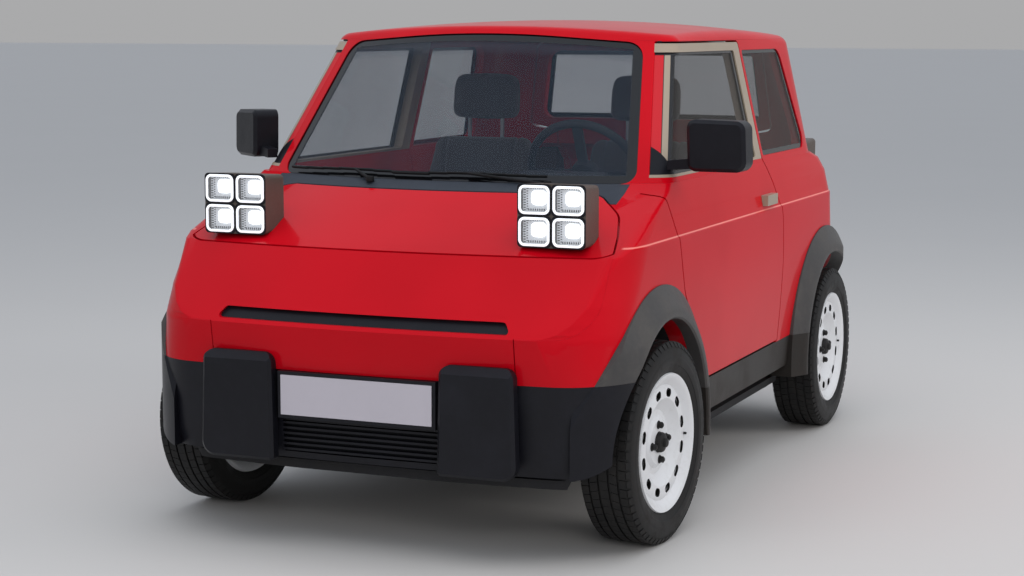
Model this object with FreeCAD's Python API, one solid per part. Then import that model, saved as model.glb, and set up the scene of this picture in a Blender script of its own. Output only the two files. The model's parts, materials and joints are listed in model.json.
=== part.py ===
"""Small two-door kei car: steel body with hinged doors, bonnet and tailgate, on four turning wheels.

Millimetres, +Z up.  The nose faces -Y, the car's left side is +X, the tyres stand on z = 0 and the
origin is the middle of the car's outline on the ground.
"""
import math
import os

import FreeCAD
import Part
from FreeCAD import Vector

os.makedirs("parts", exist_ok=True)

# Overall sizes
NOSE_Y = -1347.0
TAIL_Y = 1344.0
HALF_WIDTH = 700.0
CROWN_Z = 1452.0

# Running gear
WHEELBASE = 1865.0
REAR_AXLE_Y = 1005.0
FRONT_AXLE_Y = REAR_AXLE_Y - WHEELBASE
TYRE_R = 285.0
WHEEL_Z = TYRE_R
WHEEL_X = 662.0
REST_STEER = -4.2
KINGPIN_X = WHEEL_X - 102.0
WELL_R = TYRE_R + 60.0
FLARE_WIDTH = 93.0
FLARE_R = WELL_R + FLARE_WIDTH
FLARE_PROUD = 42.0
FRONT_WELL_X = 415.0
REAR_WELL_X = 540.0

# Body heights
UNDER_Z = 200.0
SILL_LOW = 282.0
SILL_TOP = 385.0
BUMPER_LOW = 248.0
BUMPER_TOP = 497.0
LIP_Z = 620.0
SEAM_Z = 821.0
CREASE_Z = 838.0
BELT_Z = 1004.0
GLASS_TOP_Z = 1382.0
ROOF_SPLIT_Z = GLASS_TOP_Z + 8.0

# Walls and clearances
WALL = 46.0
ROOF_WALL = 34.0
BONNET_SKIN = 24.0
SEAM = 6.0
LEDGE = 18.0
SKIN_GAP = 0.3
GLASS_DEPTH = 4.0
GLASS_THICK = 5.0

# Roof crown
CROWN_R = 4600.0
LENGTH_R = 12000.0
CROWN_Y = 240.0

# Front of the body: the upright nose is cut by a leaning mask and then by the bonnet
NOSE_BOW = 4600.0
MASK_BOW = 3000.0
MASK_SETBACK = 162.0
MASK_K = 1.9
BONNET_K = 2.3
LIP_CORNER = 228.0
SEAM_CORNER = 383.0
REAR_BOW = 4500.0

# Rows of the body: z, tuck, (front setback, bow, rounding, corner, inset factor), (rear without rounding)
LOW_ROWS = (
    (UNDER_Z, 32.0, (57.0, 5000.0, 0.0, 160.0, 1.0), (44.0, 5000.0, 200.0, 1.0)),
    (300.0, 12.0, (35.0, 5000.0, 0.0, 165.0, 1.0), (19.0, REAR_BOW, 205.0, 1.0)),
    (BUMPER_TOP, 3.0, (21.0, 5000.0, 0.0, 172.0, 1.0), (4.0, REAR_BOW, 215.0, 1.0)),
    (LIP_Z, 0.0, (0.0, NOSE_BOW, 0.0, LIP_CORNER, 1.0), (0.0, REAR_BOW, 230.0, 1.0)),
)
# Share of the mask's height, tuck, rounding, rear corner
MASK_STEPS = (
    (0.075, 0.0, 10.0, 235.0), (0.2, 0.0, 14.0, 240.0), (0.4, 0.0, 22.0, 250.0), (1.0, 3.0, 45.0, 258.0),
)
HIGH_ROWS = (
    (CREASE_Z, 3.0, (198.0, 2757.0, 45.0, 397.0, BONNET_K), (1.5, REAR_BOW, 258.0, 1.0)),
    (CREASE_Z + 6.0, 8.0, (211.3, 2680.0, 45.0, 402.0, BONNET_K), (2.0, REAR_BOW, 260.0, 1.0)),
    (BELT_Z - 85.0, 22.0, (374.0, 1865.0, 45.0, 548.0, BONNET_K), (13.0, 4200.0, 260.0, 1.2)),
    (BELT_Z - 38.0, 32.0, (477.0, 1450.0, 45.0, 690.0, BONNET_K), (54.0, 3600.0, 280.0, 1.4)),
    (BELT_Z - 14.0, 38.0, (519.0, 1400.0, 45.0, 745.0, BONNET_K), (129.0, 2600.0, 300.0, 1.6)),
)


def mask_row(share, tuck, rounding, rear_corner):
    """Row of the leaning mask at a share of its height."""
    front = (share * MASK_SETBACK, NOSE_BOW + share * (MASK_BOW - NOSE_BOW), rounding,
             LIP_CORNER + share * (SEAM_CORNER - LIP_CORNER), 1.0 + share * (MASK_K - 1.0))
    return LIP_Z + share * (SEAM_Z - LIP_Z), tuck, front, (0.0, REAR_BOW, rear_corner, 1.0)


BODY_ROWS = LOW_ROWS + tuple(mask_row(*step) for step in MASK_STEPS) + HIGH_ROWS

# Rows of the cabin: z, half width, (front y, bow, corner, inset factor), (rear the same)
CABIN_ROWS = (
    (BELT_Z - 104.0, 682.0, (-898.0, 1350.0, 80.0, 1.32), (1202.0, 2500.0, 300.0, 1.0)),
    (CROWN_Z + 28.0, 546.0, (-400.0, 1150.0, 80.0, 1.32), (1165.0, 2400.0, 260.0, 1.0)),
)
SPLIT_ANGLE = math.radians(6.0)
LEAST_ROUND = 20.0


def unit(vector):
    """Vector of length one along another."""
    out = Vector(vector)
    out.normalize()
    return out


def corner_centre(half, edge_y, bow, corner, sign):
    """Centre of the rounded corner between a bowed end and a straight side."""
    reach = math.sqrt((bow - corner) ** 2 - (half - corner) ** 2)
    return Vector(half - corner, edge_y + sign * (bow - reach), 0)


def bow_corner(half, edge_y, bow, corner, sign):
    """Points where a bowed end meets its rounded corner, on the corner, and on the side."""
    centre = corner_centre(half, edge_y, bow, corner, sign)
    bow_centre = Vector(0, edge_y + sign * bow, 0)
    on_bow = bow_centre + unit(centre - bow_centre) * bow
    on_side = Vector(half, centre.y, 0)
    middle = unit((on_bow + on_side) * 0.5 - centre)
    return on_bow, centre + middle * corner, on_side


def turn_about(centre, point, angle):
    """Point turned about a centre in plan."""
    arm = point - centre
    return centre + Vector(arm.x * math.cos(angle) - arm.y * math.sin(angle),
                           arm.x * math.sin(angle) + arm.y * math.cos(angle), 0)


def nose_corner(half, edge_y, bow, corner):
    """Front corner of an upright row, its arc split so that it has as many edges as a leaning row."""
    centre = corner_centre(half, edge_y, bow, corner, 1)
    bow_centre = Vector(0, edge_y + bow, 0)
    on_bow = bow_centre + unit(centre - bow_centre) * bow
    on_hull = turn_about(centre, on_bow, SPLIT_ANGLE)
    on_side = Vector(half, centre.y, 0)
    hull_way = unit(unit(on_hull - centre) + Vector(1, 0, 0))
    return (on_bow, turn_about(centre, on_bow, SPLIT_ANGLE / 2), on_hull, centre + hull_way * corner, on_side)


def lid_corner(half, lid_y, lid_bow, rounding, nose_y, nose_bow, corner):
    """Front corner where the leaning mask or bonnet cuts the upright hull, with a small rounding."""
    hull = corner_centre(half, nose_y, nose_bow, corner, 1)
    lid = Vector(0, lid_y + lid_bow, 0)
    lid_reach = lid_bow - rounding
    hull_reach = corner - rounding
    span = (hull - lid).Length
    along = (lid_reach ** 2 - hull_reach ** 2 + span ** 2) / 2 / span
    aside = math.sqrt(lid_reach ** 2 - along ** 2)
    way = unit(hull - lid)
    pivot = lid + way * along + Vector(-way.y, way.x, 0) * aside
    on_lid = lid + unit(pivot - lid) * lid_bow
    on_hull = hull + unit(pivot - hull) * corner
    round_way = unit((on_lid + on_hull) * 0.5 - pivot)
    hull_way = unit(unit(on_hull - hull) + Vector(1, 0, 0))
    return (on_lid, pivot + round_way * rounding, on_hull, hull + hull_way * corner, Vector(half, hull.y, 0))


def arc_edge(start, middle, stop, z, side):
    """Arc at a height, on one side of the car."""
    return Part.Arc(Vector(side * start.x, start.y, z), Vector(side * middle.x, middle.y, z),
                    Vector(side * stop.x, stop.y, z)).toShape()


def side_edge(start, stop, z, side):
    """Straight side at a height."""
    return Part.LineSegment(Vector(side * start.x, start.y, z), Vector(side * stop.x, stop.y, z)).toShape()


def bow_edge(end, y, z, side):
    """Bowed end through the centre plane, from one corner to the other."""
    start = Vector(-side * end.x, end.y, z)
    return Part.Arc(start, Vector(0, y, z), Vector(side * end.x, end.y, z)).toShape()


def outline(z, half, front_y, front_bow, front_corner, rear_y, rear_bow, rear_corner):
    """Closed plan outline of eight edges: two bowed ends, four corners and two straight sides."""
    front = bow_corner(half, front_y, front_bow, front_corner, 1)
    rear = bow_corner(half, rear_y, rear_bow, rear_corner, -1)
    return Part.Wire([
        bow_edge(front[0], front_y, z, 1),
        arc_edge(front[0], front[1], front[2], z, 1),
        side_edge(front[2], rear[2], z, 1),
        arc_edge(rear[2], rear[1], rear[0], z, 1),
        bow_edge(rear[0], rear_y, z, -1),
        arc_edge(rear[0], rear[1], rear[2], z, -1),
        side_edge(rear[2], front[2], z, -1),
        arc_edge(front[2], front[1], front[0], z, -1),
    ])


def body_outline(row, depth):
    """Plan outline of the body at one row, pulled in by a wall depth."""
    z, tuck, (setback, bow, rounding, corner, front_k), (rear_setback, rear_bow, rear_corner, rear_k) = row
    half = HALF_WIDTH - tuck - depth
    front_y = NOSE_Y + setback + depth * front_k
    rear_y = TAIL_Y - rear_setback - depth * rear_k
    if rounding > 0.0:
        soft = rounding - depth
        if depth > 0.0:
            soft = max(soft, LEAST_ROUND)
        points = lid_corner(half, front_y, bow - depth, soft, NOSE_Y + depth, NOSE_BOW - depth,
                            corner - depth)
    else:
        points = nose_corner(half, front_y, bow - depth, corner - depth)
    rear = bow_corner(half, rear_y, rear_bow - depth, rear_corner - depth, -1)
    return Part.Wire([
        bow_edge(points[0], front_y, z, 1),
        arc_edge(points[0], points[1], points[2], z, 1),
        arc_edge(points[2], points[3], points[4], z, 1),
        side_edge(points[4], rear[2], z, 1),
        arc_edge(rear[2], rear[1], rear[0], z, 1),
        bow_edge(rear[0], rear_y, z, -1),
        arc_edge(rear[0], rear[1], rear[2], z, -1),
        side_edge(rear[2], points[4], z, -1),
        arc_edge(points[4], points[3], points[2], z, -1),
        arc_edge(points[2], points[1], points[0], z, -1),
    ])


FORMS = {}


def body_form(depth):
    """Lower body below the glass as a solid, pulled in by a wall depth."""
    if depth not in FORMS:
        FORMS[depth] = Part.makeLoft([body_outline(row, depth) for row in BODY_ROWS], True, True)
    return FORMS[depth]


def inset_rows(rows, depth):
    """Cabin rows pulled in by a wall depth, as outline sizes."""
    out = []
    for z, half, (front_y, front_bow, front_corner, front_k), (rear_y, rear_bow, rear_corner, rear_k) in rows:
        out.append((z, half - depth, front_y + depth * front_k, front_bow - depth, front_corner - depth,
                    rear_y - depth * rear_k, rear_bow - depth, rear_corner - depth))
    return out


def ruled(rows):
    """Ruled solid through plan outlines."""
    return Part.makeLoft([outline(*row) for row in rows], True, True)


def box(x0, x1, y0, y1, z0, z1):
    """Box between two corners, given in any order along each axis."""
    low = Vector(min(x0, x1), min(y0, y1), min(z0, z1))
    return Part.makeBox(abs(x1 - x0), abs(y1 - y0), abs(z1 - z0), low)


def wide(y0, y1, z0, z1):
    """Box across the whole width of the car."""
    return box(-WIDE, WIDE, y0, y1, z0, z1)


def rod(x, y, z, radius, length, way):
    """Cylinder from a point along a direction."""
    return Part.makeCylinder(radius, length, Vector(x, y, z), Vector(*way))


def corner_ends(here, before, after, radius):
    """Start, middle and end of one corner of an outline, rounded where a radius is given."""
    if radius <= 0.0:
        return here, None, here
    back = unit(before - here)
    on = unit(after - here)
    angle = math.acos(max(-1.0, min(1.0, back.dot(on))))
    reach = radius / math.tan(angle / 2)
    centre_way = unit(back + on)
    centre = here + centre_way * (radius / math.sin(angle / 2))
    return here + back * reach, centre - centre_way * radius, here + on * reach


def rounded_face(points, place):
    """Face from (u, v) or (u, v, radius) corners, rounded by arcs where a radius is given."""
    spots = [Vector(point[0], point[1], 0) for point in points]
    radii = [point[2] if len(point) > 2 else 0.0 for point in points]
    count = len(points)
    ends = [corner_ends(spots[i], spots[i - 1], spots[(i + 1) % count], radii[i]) for i in range(count)]
    edges = []
    for index in range(count):
        start, middle, stop = ends[index]
        if middle is not None:
            edges.append(Part.Arc(place(start), place(middle), place(stop)).toShape())
        following = ends[(index + 1) % count][0]
        if (following - stop).Length > 1e-6:
            edges.append(Part.LineSegment(place(stop), place(following)).toShape())
    return Part.Face(Part.Wire(edges))


def grown_face(points, by):
    """Flat face in the XY plane from an outline moved outward by an even gap."""
    face = rounded_face(points, lambda p: Vector(p.x, p.y, 0))
    if by:
        face = Part.Face(face.OuterWire.makeOffset2D(by, 2))
    return face


def side_face(points, x, by=0.0):
    """Face from a side view outline in (y, z), moved outward by a gap, standing at x."""
    face = grown_face(points, by)
    face.rotate(Vector(0, 0, 0), Vector(1, 1, 1), 120)
    face.translate(Vector(x, 0, 0))
    return face


def front_face(points, y, by=0.0):
    """Face from a front view outline in (x, z), moved outward by a gap, standing at y."""
    face = grown_face(points, by)
    face.rotate(Vector(0, 0, 0), Vector(1, 0, 0), 90)
    face.translate(Vector(0, y, 0))
    return face


def side_prism(points, x0, x1, by=0.0):
    """Side view outline in (y, z), moved outward by a gap and pushed from x0 to x1."""
    return side_face(points, x0, by).extrude(Vector(x1 - x0, 0, 0))


def front_prism(points, y0, y1, by=0.0):
    """Front view outline in (x, z), moved outward by a gap and pushed from y0 to y1."""
    return front_face(points, y0, by).extrude(Vector(0, y1 - y0, 0))


def plan_prism(points, z0, z1, by=0.0):
    """Plan outline in (x, y), moved outward by a gap and pushed from z0 to z1."""
    face = grown_face(points, by)
    face.translate(Vector(0, 0, z0))
    return face.extrude(Vector(0, 0, z1 - z0))


def even(points):
    """Outline in (u, v, radius) completed by its own mirror image across u = 0."""
    return tuple(points) + tuple((-point[0],) + tuple(point[1:]) for point in reversed(points))


def turned(points, x, y, z, outward):
    """Ring about a wheel axis from (depth, radius) corners; depth grows outward."""
    face = rounded_face(points, lambda p: Vector(x + outward * p.x, y, z + p.y))
    return face.revolve(Vector(x, y, z), Vector(1, 0, 0), 360)


def mirrored(shape):
    """Copy on the other side of the car's centre plane."""
    return shape.mirror(Vector(0, 0, 0), Vector(1, 0, 0))


def both(shape):
    """Shape with its mirrored copy."""
    return Part.makeCompound([shape, mirrored(shape)])


def roof_barrel(drop):
    """Everything below the crowned roof surface, lowered by a wall depth."""
    top = CROWN_Z - drop
    low = top - WIDE ** 2 / 2 / CROWN_R
    corners = (Vector(-WIDE, CROWN_Y, 0), Vector(WIDE, CROWN_Y, 0), Vector(WIDE, CROWN_Y, low),
               Vector(-WIDE, CROWN_Y, low))
    profile = Part.Wire([
        Part.LineSegment(corners[0], corners[1]).toShape(),
        Part.LineSegment(corners[1], corners[2]).toShape(),
        Part.Arc(corners[2], Vector(0, CROWN_Y, top), corners[3]).toShape(),
        Part.LineSegment(corners[3], corners[0]).toShape(),
    ])
    face = Part.Face(profile)
    pivot = Vector(0, CROWN_Y, top - LENGTH_R)
    face.rotate(pivot, Vector(1, 0, 0), -ROOF_SWEEP / 2)
    return face.revolve(pivot, Vector(1, 0, 0), ROOF_SWEEP)


def cabin_form(depth, top_drop, soften=0.0):
    """Glasshouse form, pulled in by depth and lowered by top_drop, with softened roof edges."""
    form = ruled(inset_rows(CABIN_ROWS, depth)).common(roof_barrel(top_drop))
    if soften > 0:
        edges = [edge for edge in form.Edges if edge.BoundBox.ZMin > BELT_Z + (CROWN_Z - BELT_Z) * 0.7]
        form = form.makeFillet(soften, edges)
    return form


NODES = {}


def keep(name, shape):
    """Store a node's shape under its name; slivers that a cut left are dropped."""
    solids = [solid for solid in shape.Solids if solid.Volume > SLIVER]
    if not solids:
        raise ValueError("no solid in " + name)
    NODES[name] = solids[0] if len(solids) == 1 else Part.makeCompound(solids)


WIDE = 900.0
ROOF_SWEEP = 16.0
ROOF_SOFT = 42.0
SLIVER = 300.0

# Outer and inner forms
outer = body_form(0.0).fuse(cabin_form(0.0, 0.0, ROOF_SOFT))
inner = body_form(WALL).fuse(cabin_form(WALL - SEAM, ROOF_WALL))
shell = outer.cut(inner)
flare_clear = body_form(-SKIN_GAP)

# Wheel wells
WHEELS = (
    ("fl", 1, FRONT_AXLE_Y, FRONT_WELL_X),
    ("fr", -1, FRONT_AXLE_Y, FRONT_WELL_X),
    ("rl", 1, REAR_AXLE_Y, REAR_WELL_X),
    ("rr", -1, REAR_AXLE_Y, REAR_WELL_X),
)
LINER = 8.0


def well(side, axle_y, start, grow):
    """Space of one wheel: a drum on the wheel axis, open below."""
    radius = WELL_R + grow
    inboard_x = start - grow
    drum = rod(side * inboard_x, axle_y, WHEEL_Z, radius, WIDE - inboard_x, (side, 0, 0))
    below = box(side * inboard_x, side * WIDE, axle_y - radius, axle_y + radius, UNDER_Z / 2, WHEEL_Z)
    return drum.fuse(below)


wells = Part.makeCompound([well(side, axle_y, start, 0.0) for name, side, axle_y, start in WHEELS])
shell = shell.cut(wells)

# Door and window outlines, in (y, z, corner radius)
DOOR_REAR_Y = 308.0
GLASS_LOW_Z = BELT_Z + 8.0
FRAME = 26.0
DOOR_LOW_Z = SILL_TOP + SEAM
DOOR_OUTLINE = (
    (-560.0, DOOR_LOW_Z), (-562.0, 588.0, 60.0), (-628.0, 683.0, 100.0), (-662.0, 816.0, 100.0),
    (-718.0, 946.0, 50.0), (-775.0, BELT_Z - 6.0), (-478.0, GLASS_TOP_Z, 22.0),
    (DOOR_REAR_Y, GLASS_TOP_Z, 14.0), (DOOR_REAR_Y, BELT_Z + 2.0),
    (DOOR_REAR_Y + 69.0, 924.0, 90.0), (DOOR_REAR_Y + 140.0, 808.0, 110.0),
    (DOOR_REAR_Y + 139.0, 657.0, 200.0), (DOOR_REAR_Y + 106.0, DOOR_LOW_Z, 12.0),
)
WINDOW_TOP_Z = GLASS_TOP_Z - FRAME
WINDOW_OUTLINE = (
    (-690.0, GLASS_LOW_Z, 14.0), (-444.0, WINDOW_TOP_Z, 18.0), (DOOR_REAR_Y - 62.0, WINDOW_TOP_Z, 12.0),
    (DOOR_REAR_Y - 62.0, GLASS_LOW_Z, 12.0),
)
QUARTER_Y = DOOR_REAR_Y + FRAME
QUARTER_OUTLINE = (
    (QUARTER_Y, GLASS_LOW_Z, 10.0), (QUARTER_Y, WINDOW_TOP_Z, 12.0), (792.0, WINDOW_TOP_Z, 55.0),
    (880.0, GLASS_LOW_Z, 45.0),
)
INBOARD_X = 380.0
inboard = front_prism(((0.0, UNDER_Z), (HALF_WIDTH - 100.0, UNDER_Z), (HALF_WIDTH - 100.0, BELT_Z - 4.0),
                       (508.0, GLASS_TOP_Z + 18.0), (0.0, GLASS_TOP_Z + 18.0)), NOSE_Y, TAIL_Y)


def side_tool(points, by=0.0):
    """Cutter through the left flank only, from a side view outline."""
    return side_prism(points, INBOARD_X, WIDE, by).cut(inboard)


def arch(grow):
    """Round of the front wheel arch as the door meets it."""
    return rod(INBOARD_X, FRONT_AXLE_Y, WHEEL_Z, FLARE_R + grow, WIDE - INBOARD_X, (1, 0, 0))


# Doors: a red lower shell and a pale window frame above the belt
door_solid = shell.common(side_tool(DOOR_OUTLINE).cut(arch(SEAM))).cut(side_tool(WINDOW_OUTLINE))
door_low = door_solid.common(wide(NOSE_Y, TAIL_Y, SILL_LOW, BELT_Z))
door_high = door_solid.common(wide(NOSE_Y, TAIL_Y, BELT_Z + SKIN_GAP, CROWN_Z))
shell = shell.cut(both(side_tool(DOOR_OUTLINE, SEAM).cut(arch(0.0))))

# Glass sheets lie a little inside the outer skin
glass_skin = cabin_form(GLASS_DEPTH, GLASS_DEPTH).cut(
    cabin_form(GLASS_DEPTH + GLASS_THICK, GLASS_DEPTH + GLASS_THICK))
door_glass = glass_skin.common(side_tool(WINDOW_OUTLINE, -SKIN_GAP))
quarter_glass = glass_skin.common(side_tool(QUARTER_OUTLINE, -SKIN_GAP))
shell = shell.cut(both(side_tool(QUARTER_OUTLINE)))

# The windscreen's upper edge follows the roof crown
SCREEN_LOW_Z = BELT_Z - 16.0
SCREEN_LEFT = ((-571.0, SCREEN_LOW_Z, 30.0), (-482.0, GLASS_TOP_Z + 2.0, 62.0))
SCREEN_OUTLINE = even(SCREEN_LEFT)[:2] + ((0.0, CROWN_Z - 32.0, 3400.0),) + even(SCREEN_LEFT)[2:]
SCREEN_FRONT_Y = -950.0
SCREEN_REAR_Y = -330.0
windscreen = glass_skin.common(front_prism(SCREEN_OUTLINE, SCREEN_FRONT_Y, SCREEN_REAR_Y, -SKIN_GAP))
shell = shell.cut(front_prism(SCREEN_OUTLINE, SCREEN_FRONT_Y, SCREEN_REAR_Y))

# Tailgate, narrow below the belt between the rear lamps, with its window
TAIL_ZONE_Y = 900.0
GATE_LOW_Z = BUMPER_TOP + 23.0
GATE_HALF = 372.0
GATE_TOP_Z = GLASS_TOP_Z - 8.0
GATE_OUTLINE = even((
    (-GATE_HALF, GATE_LOW_Z, 30.0), (-GATE_HALF, BELT_Z + 36.0), (-GATE_HALF - 98.0, BELT_Z + 56.0, 20.0),
    (-GATE_HALF - 60.0, GATE_TOP_Z, 40.0),
))
REAR_WINDOW_OUTLINE = even((
    (-GATE_HALF - 58.0, BELT_Z + 81.0, 35.0), (-GATE_HALF - 26.0, GATE_TOP_Z - 34.0, 45.0),
))
gate_zone = front_prism(GATE_OUTLINE, TAIL_ZONE_Y, TAIL_Y + WALL)
tailgate = shell.common(gate_zone).cut(front_prism(REAR_WINDOW_OUTLINE, TAIL_ZONE_Y, TAIL_Y + WALL))
tailgate_glass = glass_skin.common(front_prism(REAR_WINDOW_OUTLINE, TAIL_ZONE_Y, TAIL_Y + WALL, -SKIN_GAP))
shell = shell.cut(front_prism(GATE_OUTLINE, TAIL_ZONE_Y, TAIL_Y + WALL, SEAM + 1.0))

# Bonnet: its front cut leans along the way it lifts, its sides close in towards the cowl
BONNET_HALF = 650.0
BONNET_FRONT_Y = NOSE_Y + 208.0
BONNET_LEAN = 131.0
BONNET_LOW_Z = 700.0
BONNET_HIGH_Z = 1060.0
COWL_Y = -876.0
COWL_BOW = 1450.0
BONNET_PLAN = even((
    (-BONNET_HALF, NOSE_Y), (-BONNET_HALF, -1117.0), (-BONNET_HALF + 28.0, -996.0),
    (-BONNET_HALF + 62.0, -891.0, 120.0), (-BONNET_HALF + 145.0, COWL_Y + 76.0, 40.0),
))


def bonnet_space(grow):
    """Space of the bonnet between its seam and the cowl, grown all round."""
    rows = []
    for z, lean in ((BONNET_LOW_Z, 0.0), (BONNET_HIGH_Z, BONNET_LEAN)):
        rows.append((z, BONNET_HALF + grow, BONNET_FRONT_Y - lean - grow, 3000.0, 75.0, 0.0, 5000.0, 60.0))
    cowl_line = outline(BONNET_LOW_Z, BONNET_HALF + 50.0, COWL_Y + grow, COWL_BOW, 30.0, TAIL_Y, 5000.0, 60.0)
    cowl_room = Part.Face(cowl_line).extrude(Vector(0, 0, BONNET_HIGH_Z - BONNET_LOW_Z))
    return ruled(rows).cut(cowl_room).common(plan_prism(BONNET_PLAN, BONNET_LOW_Z, BONNET_HIGH_Z, grow))


bonnet = body_form(0.0).cut(body_form(BONNET_SKIN)).common(bonnet_space(0.0))
ledge = body_form(BONNET_SKIN + SKIN_GAP).cut(bonnet_space(-LEDGE))
shell = shell.cut(bonnet_space(SEAM).cut(ledge))

# Nose panel: the leaning mask with its intake slot, and the upright panel below the lip
SLOT_LOW_Z = LIP_Z + 10.0
SLOT_HIGH_Z = LIP_Z + 41.0
SLOT_OUTLINE = even(((-442.0, SLOT_LOW_Z, 8.0), (-420.0, SLOT_HIGH_Z, 16.0)))
MASK_HALF = 652.0
MASK_OUTLINE = even(((-MASK_HALF, LIP_Z + 2.0, 90.0), (-MASK_HALF, SEAM_Z + 60.0)))
MASK_REAR_Y = BONNET_FRONT_Y + 130.0
FASCIA_HALF = 453.0
FASCIA_SEAM = 3.0
FASCIA_REAR_Y = NOSE_Y + 100.0
slot_tool = front_prism(SLOT_OUTLINE, NOSE_Y - WALL, NOSE_Y + 150.0)
mask_zone = front_prism(MASK_OUTLINE, NOSE_Y - WALL, MASK_REAR_Y)
fascia_zone = box(-FASCIA_HALF, FASCIA_HALF, NOSE_Y - WALL, FASCIA_REAR_Y, BUMPER_TOP, LIP_Z + 40.0)
nose_panel = shell.common(mask_zone.fuse(fascia_zone)).cut(slot_tool)
slot_skin = body_form(2 * SEAM).cut(body_form(5 * SEAM))
nose_slot = slot_skin.common(front_prism(SLOT_OUTLINE, NOSE_Y - WALL, NOSE_Y + 150.0, -SKIN_GAP))
shell = shell.cut(front_prism(MASK_OUTLINE, NOSE_Y - WALL, MASK_REAR_Y + SKIN_GAP, SKIN_GAP))
shell = shell.cut(box(-FASCIA_HALF - FASCIA_SEAM, FASCIA_HALF + FASCIA_SEAM, NOSE_Y - WALL,
                      FASCIA_REAR_Y + SKIN_GAP, BUMPER_TOP - SEAM, LIP_Z + 40.0))

# Cowl below the windscreen, and the roof skin
COWL_HALF = 560.0
COWL_LOW_Z = BELT_Z - 64.0
COWL_FRONT_Y = COWL_Y - 24.0
COWL_REAR_Y = COWL_Y + 236.0
cowl = shell.common(box(-COWL_HALF, COWL_HALF, COWL_FRONT_Y, COWL_REAR_Y,
                        COWL_LOW_Z, SCREEN_LOW_Z - SKIN_GAP))
shell = shell.cut(box(-COWL_HALF - SKIN_GAP, COWL_HALF + SKIN_GAP, COWL_FRONT_Y, COWL_REAR_Y,
                      COWL_LOW_Z - 1.0, SCREEN_LOW_Z))
roof = shell.common(wide(NOSE_Y, TAIL_Y + WALL, ROOF_SPLIT_Z, CROWN_Z + WALL))
shell = shell.cut(wide(NOSE_Y, TAIL_Y + WALL, ROOF_SPLIT_Z - SKIN_GAP, CROWN_Z + WALL))

# Flares: a rolled lip round each arch, standing proud of the body
FLARE_X = HALF_WIDTH + FLARE_PROUD
FLARE_INNER_X = HALF_WIDTH - 100.0
FLARE_PROFILE = (
    (FLARE_INNER_X, WELL_R), (FLARE_X - 7.0, WELL_R), (FLARE_X - 2.0, WELL_R + 5.0), (FLARE_X, WELL_R + 14.0),
    (FLARE_X - 3.0, WELL_R + 28.0), (FLARE_X - 11.0, WELL_R + 42.0), (FLARE_X - 38.0, FLARE_R),
    (FLARE_INNER_X, FLARE_R),
)
FLARE_LIMIT = (UNDER_Z / 2, FLARE_X, NOSE_Y - 3.0, 5000.0, 290.0, TAIL_Y + 36.0, 4545.0, 246.0)
flare_limit = Part.Face(outline(*FLARE_LIMIT)).extrude(Vector(0, 0, WHEEL_Z + FLARE_R + WALL))


def ring_part(side, axle_y, way, low, high):
    """Part of one arch ring ahead of (-1) or behind (1) its axle, between two heights."""
    ring = turned(FLARE_PROFILE, 0.0, axle_y, WHEEL_Z, side).common(flare_limit)
    return ring.common(wide(axle_y, axle_y + way * (FLARE_R + WALL), low, high))


# Bumpers and sills are the low parts of the same form, with the feet of the arch rings
low_shell = shell.common(wide(NOSE_Y - WALL, TAIL_Y + WALL, UNDER_Z, BUMPER_TOP - SKIN_GAP))
front_bumper = low_shell.common(wide(NOSE_Y - WALL, FRONT_AXLE_Y, UNDER_Z, BUMPER_TOP))
rear_bumper = low_shell.common(wide(REAR_AXLE_Y, TAIL_Y + WALL, UNDER_Z, BUMPER_TOP))
sills = low_shell.common(wide(FRONT_AXLE_Y, REAR_AXLE_Y, SILL_LOW, SILL_TOP - SKIN_GAP))
shell = shell.cut(wide(NOSE_Y - WALL, FRONT_AXLE_Y, 0.0, BUMPER_TOP))
shell = shell.cut(wide(REAR_AXLE_Y, TAIL_Y + WALL, 0.0, BUMPER_TOP))
shell = shell.cut(wide(FRONT_AXLE_Y - 1.0, REAR_AXLE_Y + 1.0, 0.0, SILL_TOP))
ARCH_TOP = WHEEL_Z + FLARE_R + WALL
RING_LOW = BUMPER_LOW - 8.0
flares = []
for name, side, axle_y, start in WHEELS:
    to_end = -1 if axle_y < 0 else 1
    high = ring_part(side, axle_y, to_end, BUMPER_TOP, ARCH_TOP)
    high = high.fuse(ring_part(side, axle_y, -to_end, SILL_TOP, ARCH_TOP))
    flares.append(high.cut(flare_clear))
    foot = ring_part(side, axle_y, to_end, RING_LOW, BUMPER_TOP - SKIN_GAP).cut(inner)
    if to_end < 0:
        front_bumper = front_bumper.fuse(foot)
    else:
        rear_bumper = rear_bumper.fuse(foot)
    sills = sills.fuse(ring_part(side, axle_y, -to_end, RING_LOW, SILL_TOP - SKIN_GAP).cut(inner))
sills = sills.cut(wells)

# Bumper ends turn up in a large round at the lower corners
BUMPER_LIMIT = even(((-FLARE_X - 2.0, BUMPER_LOW, 150.0), (-FLARE_X - 2.0, BUMPER_TOP + WALL)))

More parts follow.
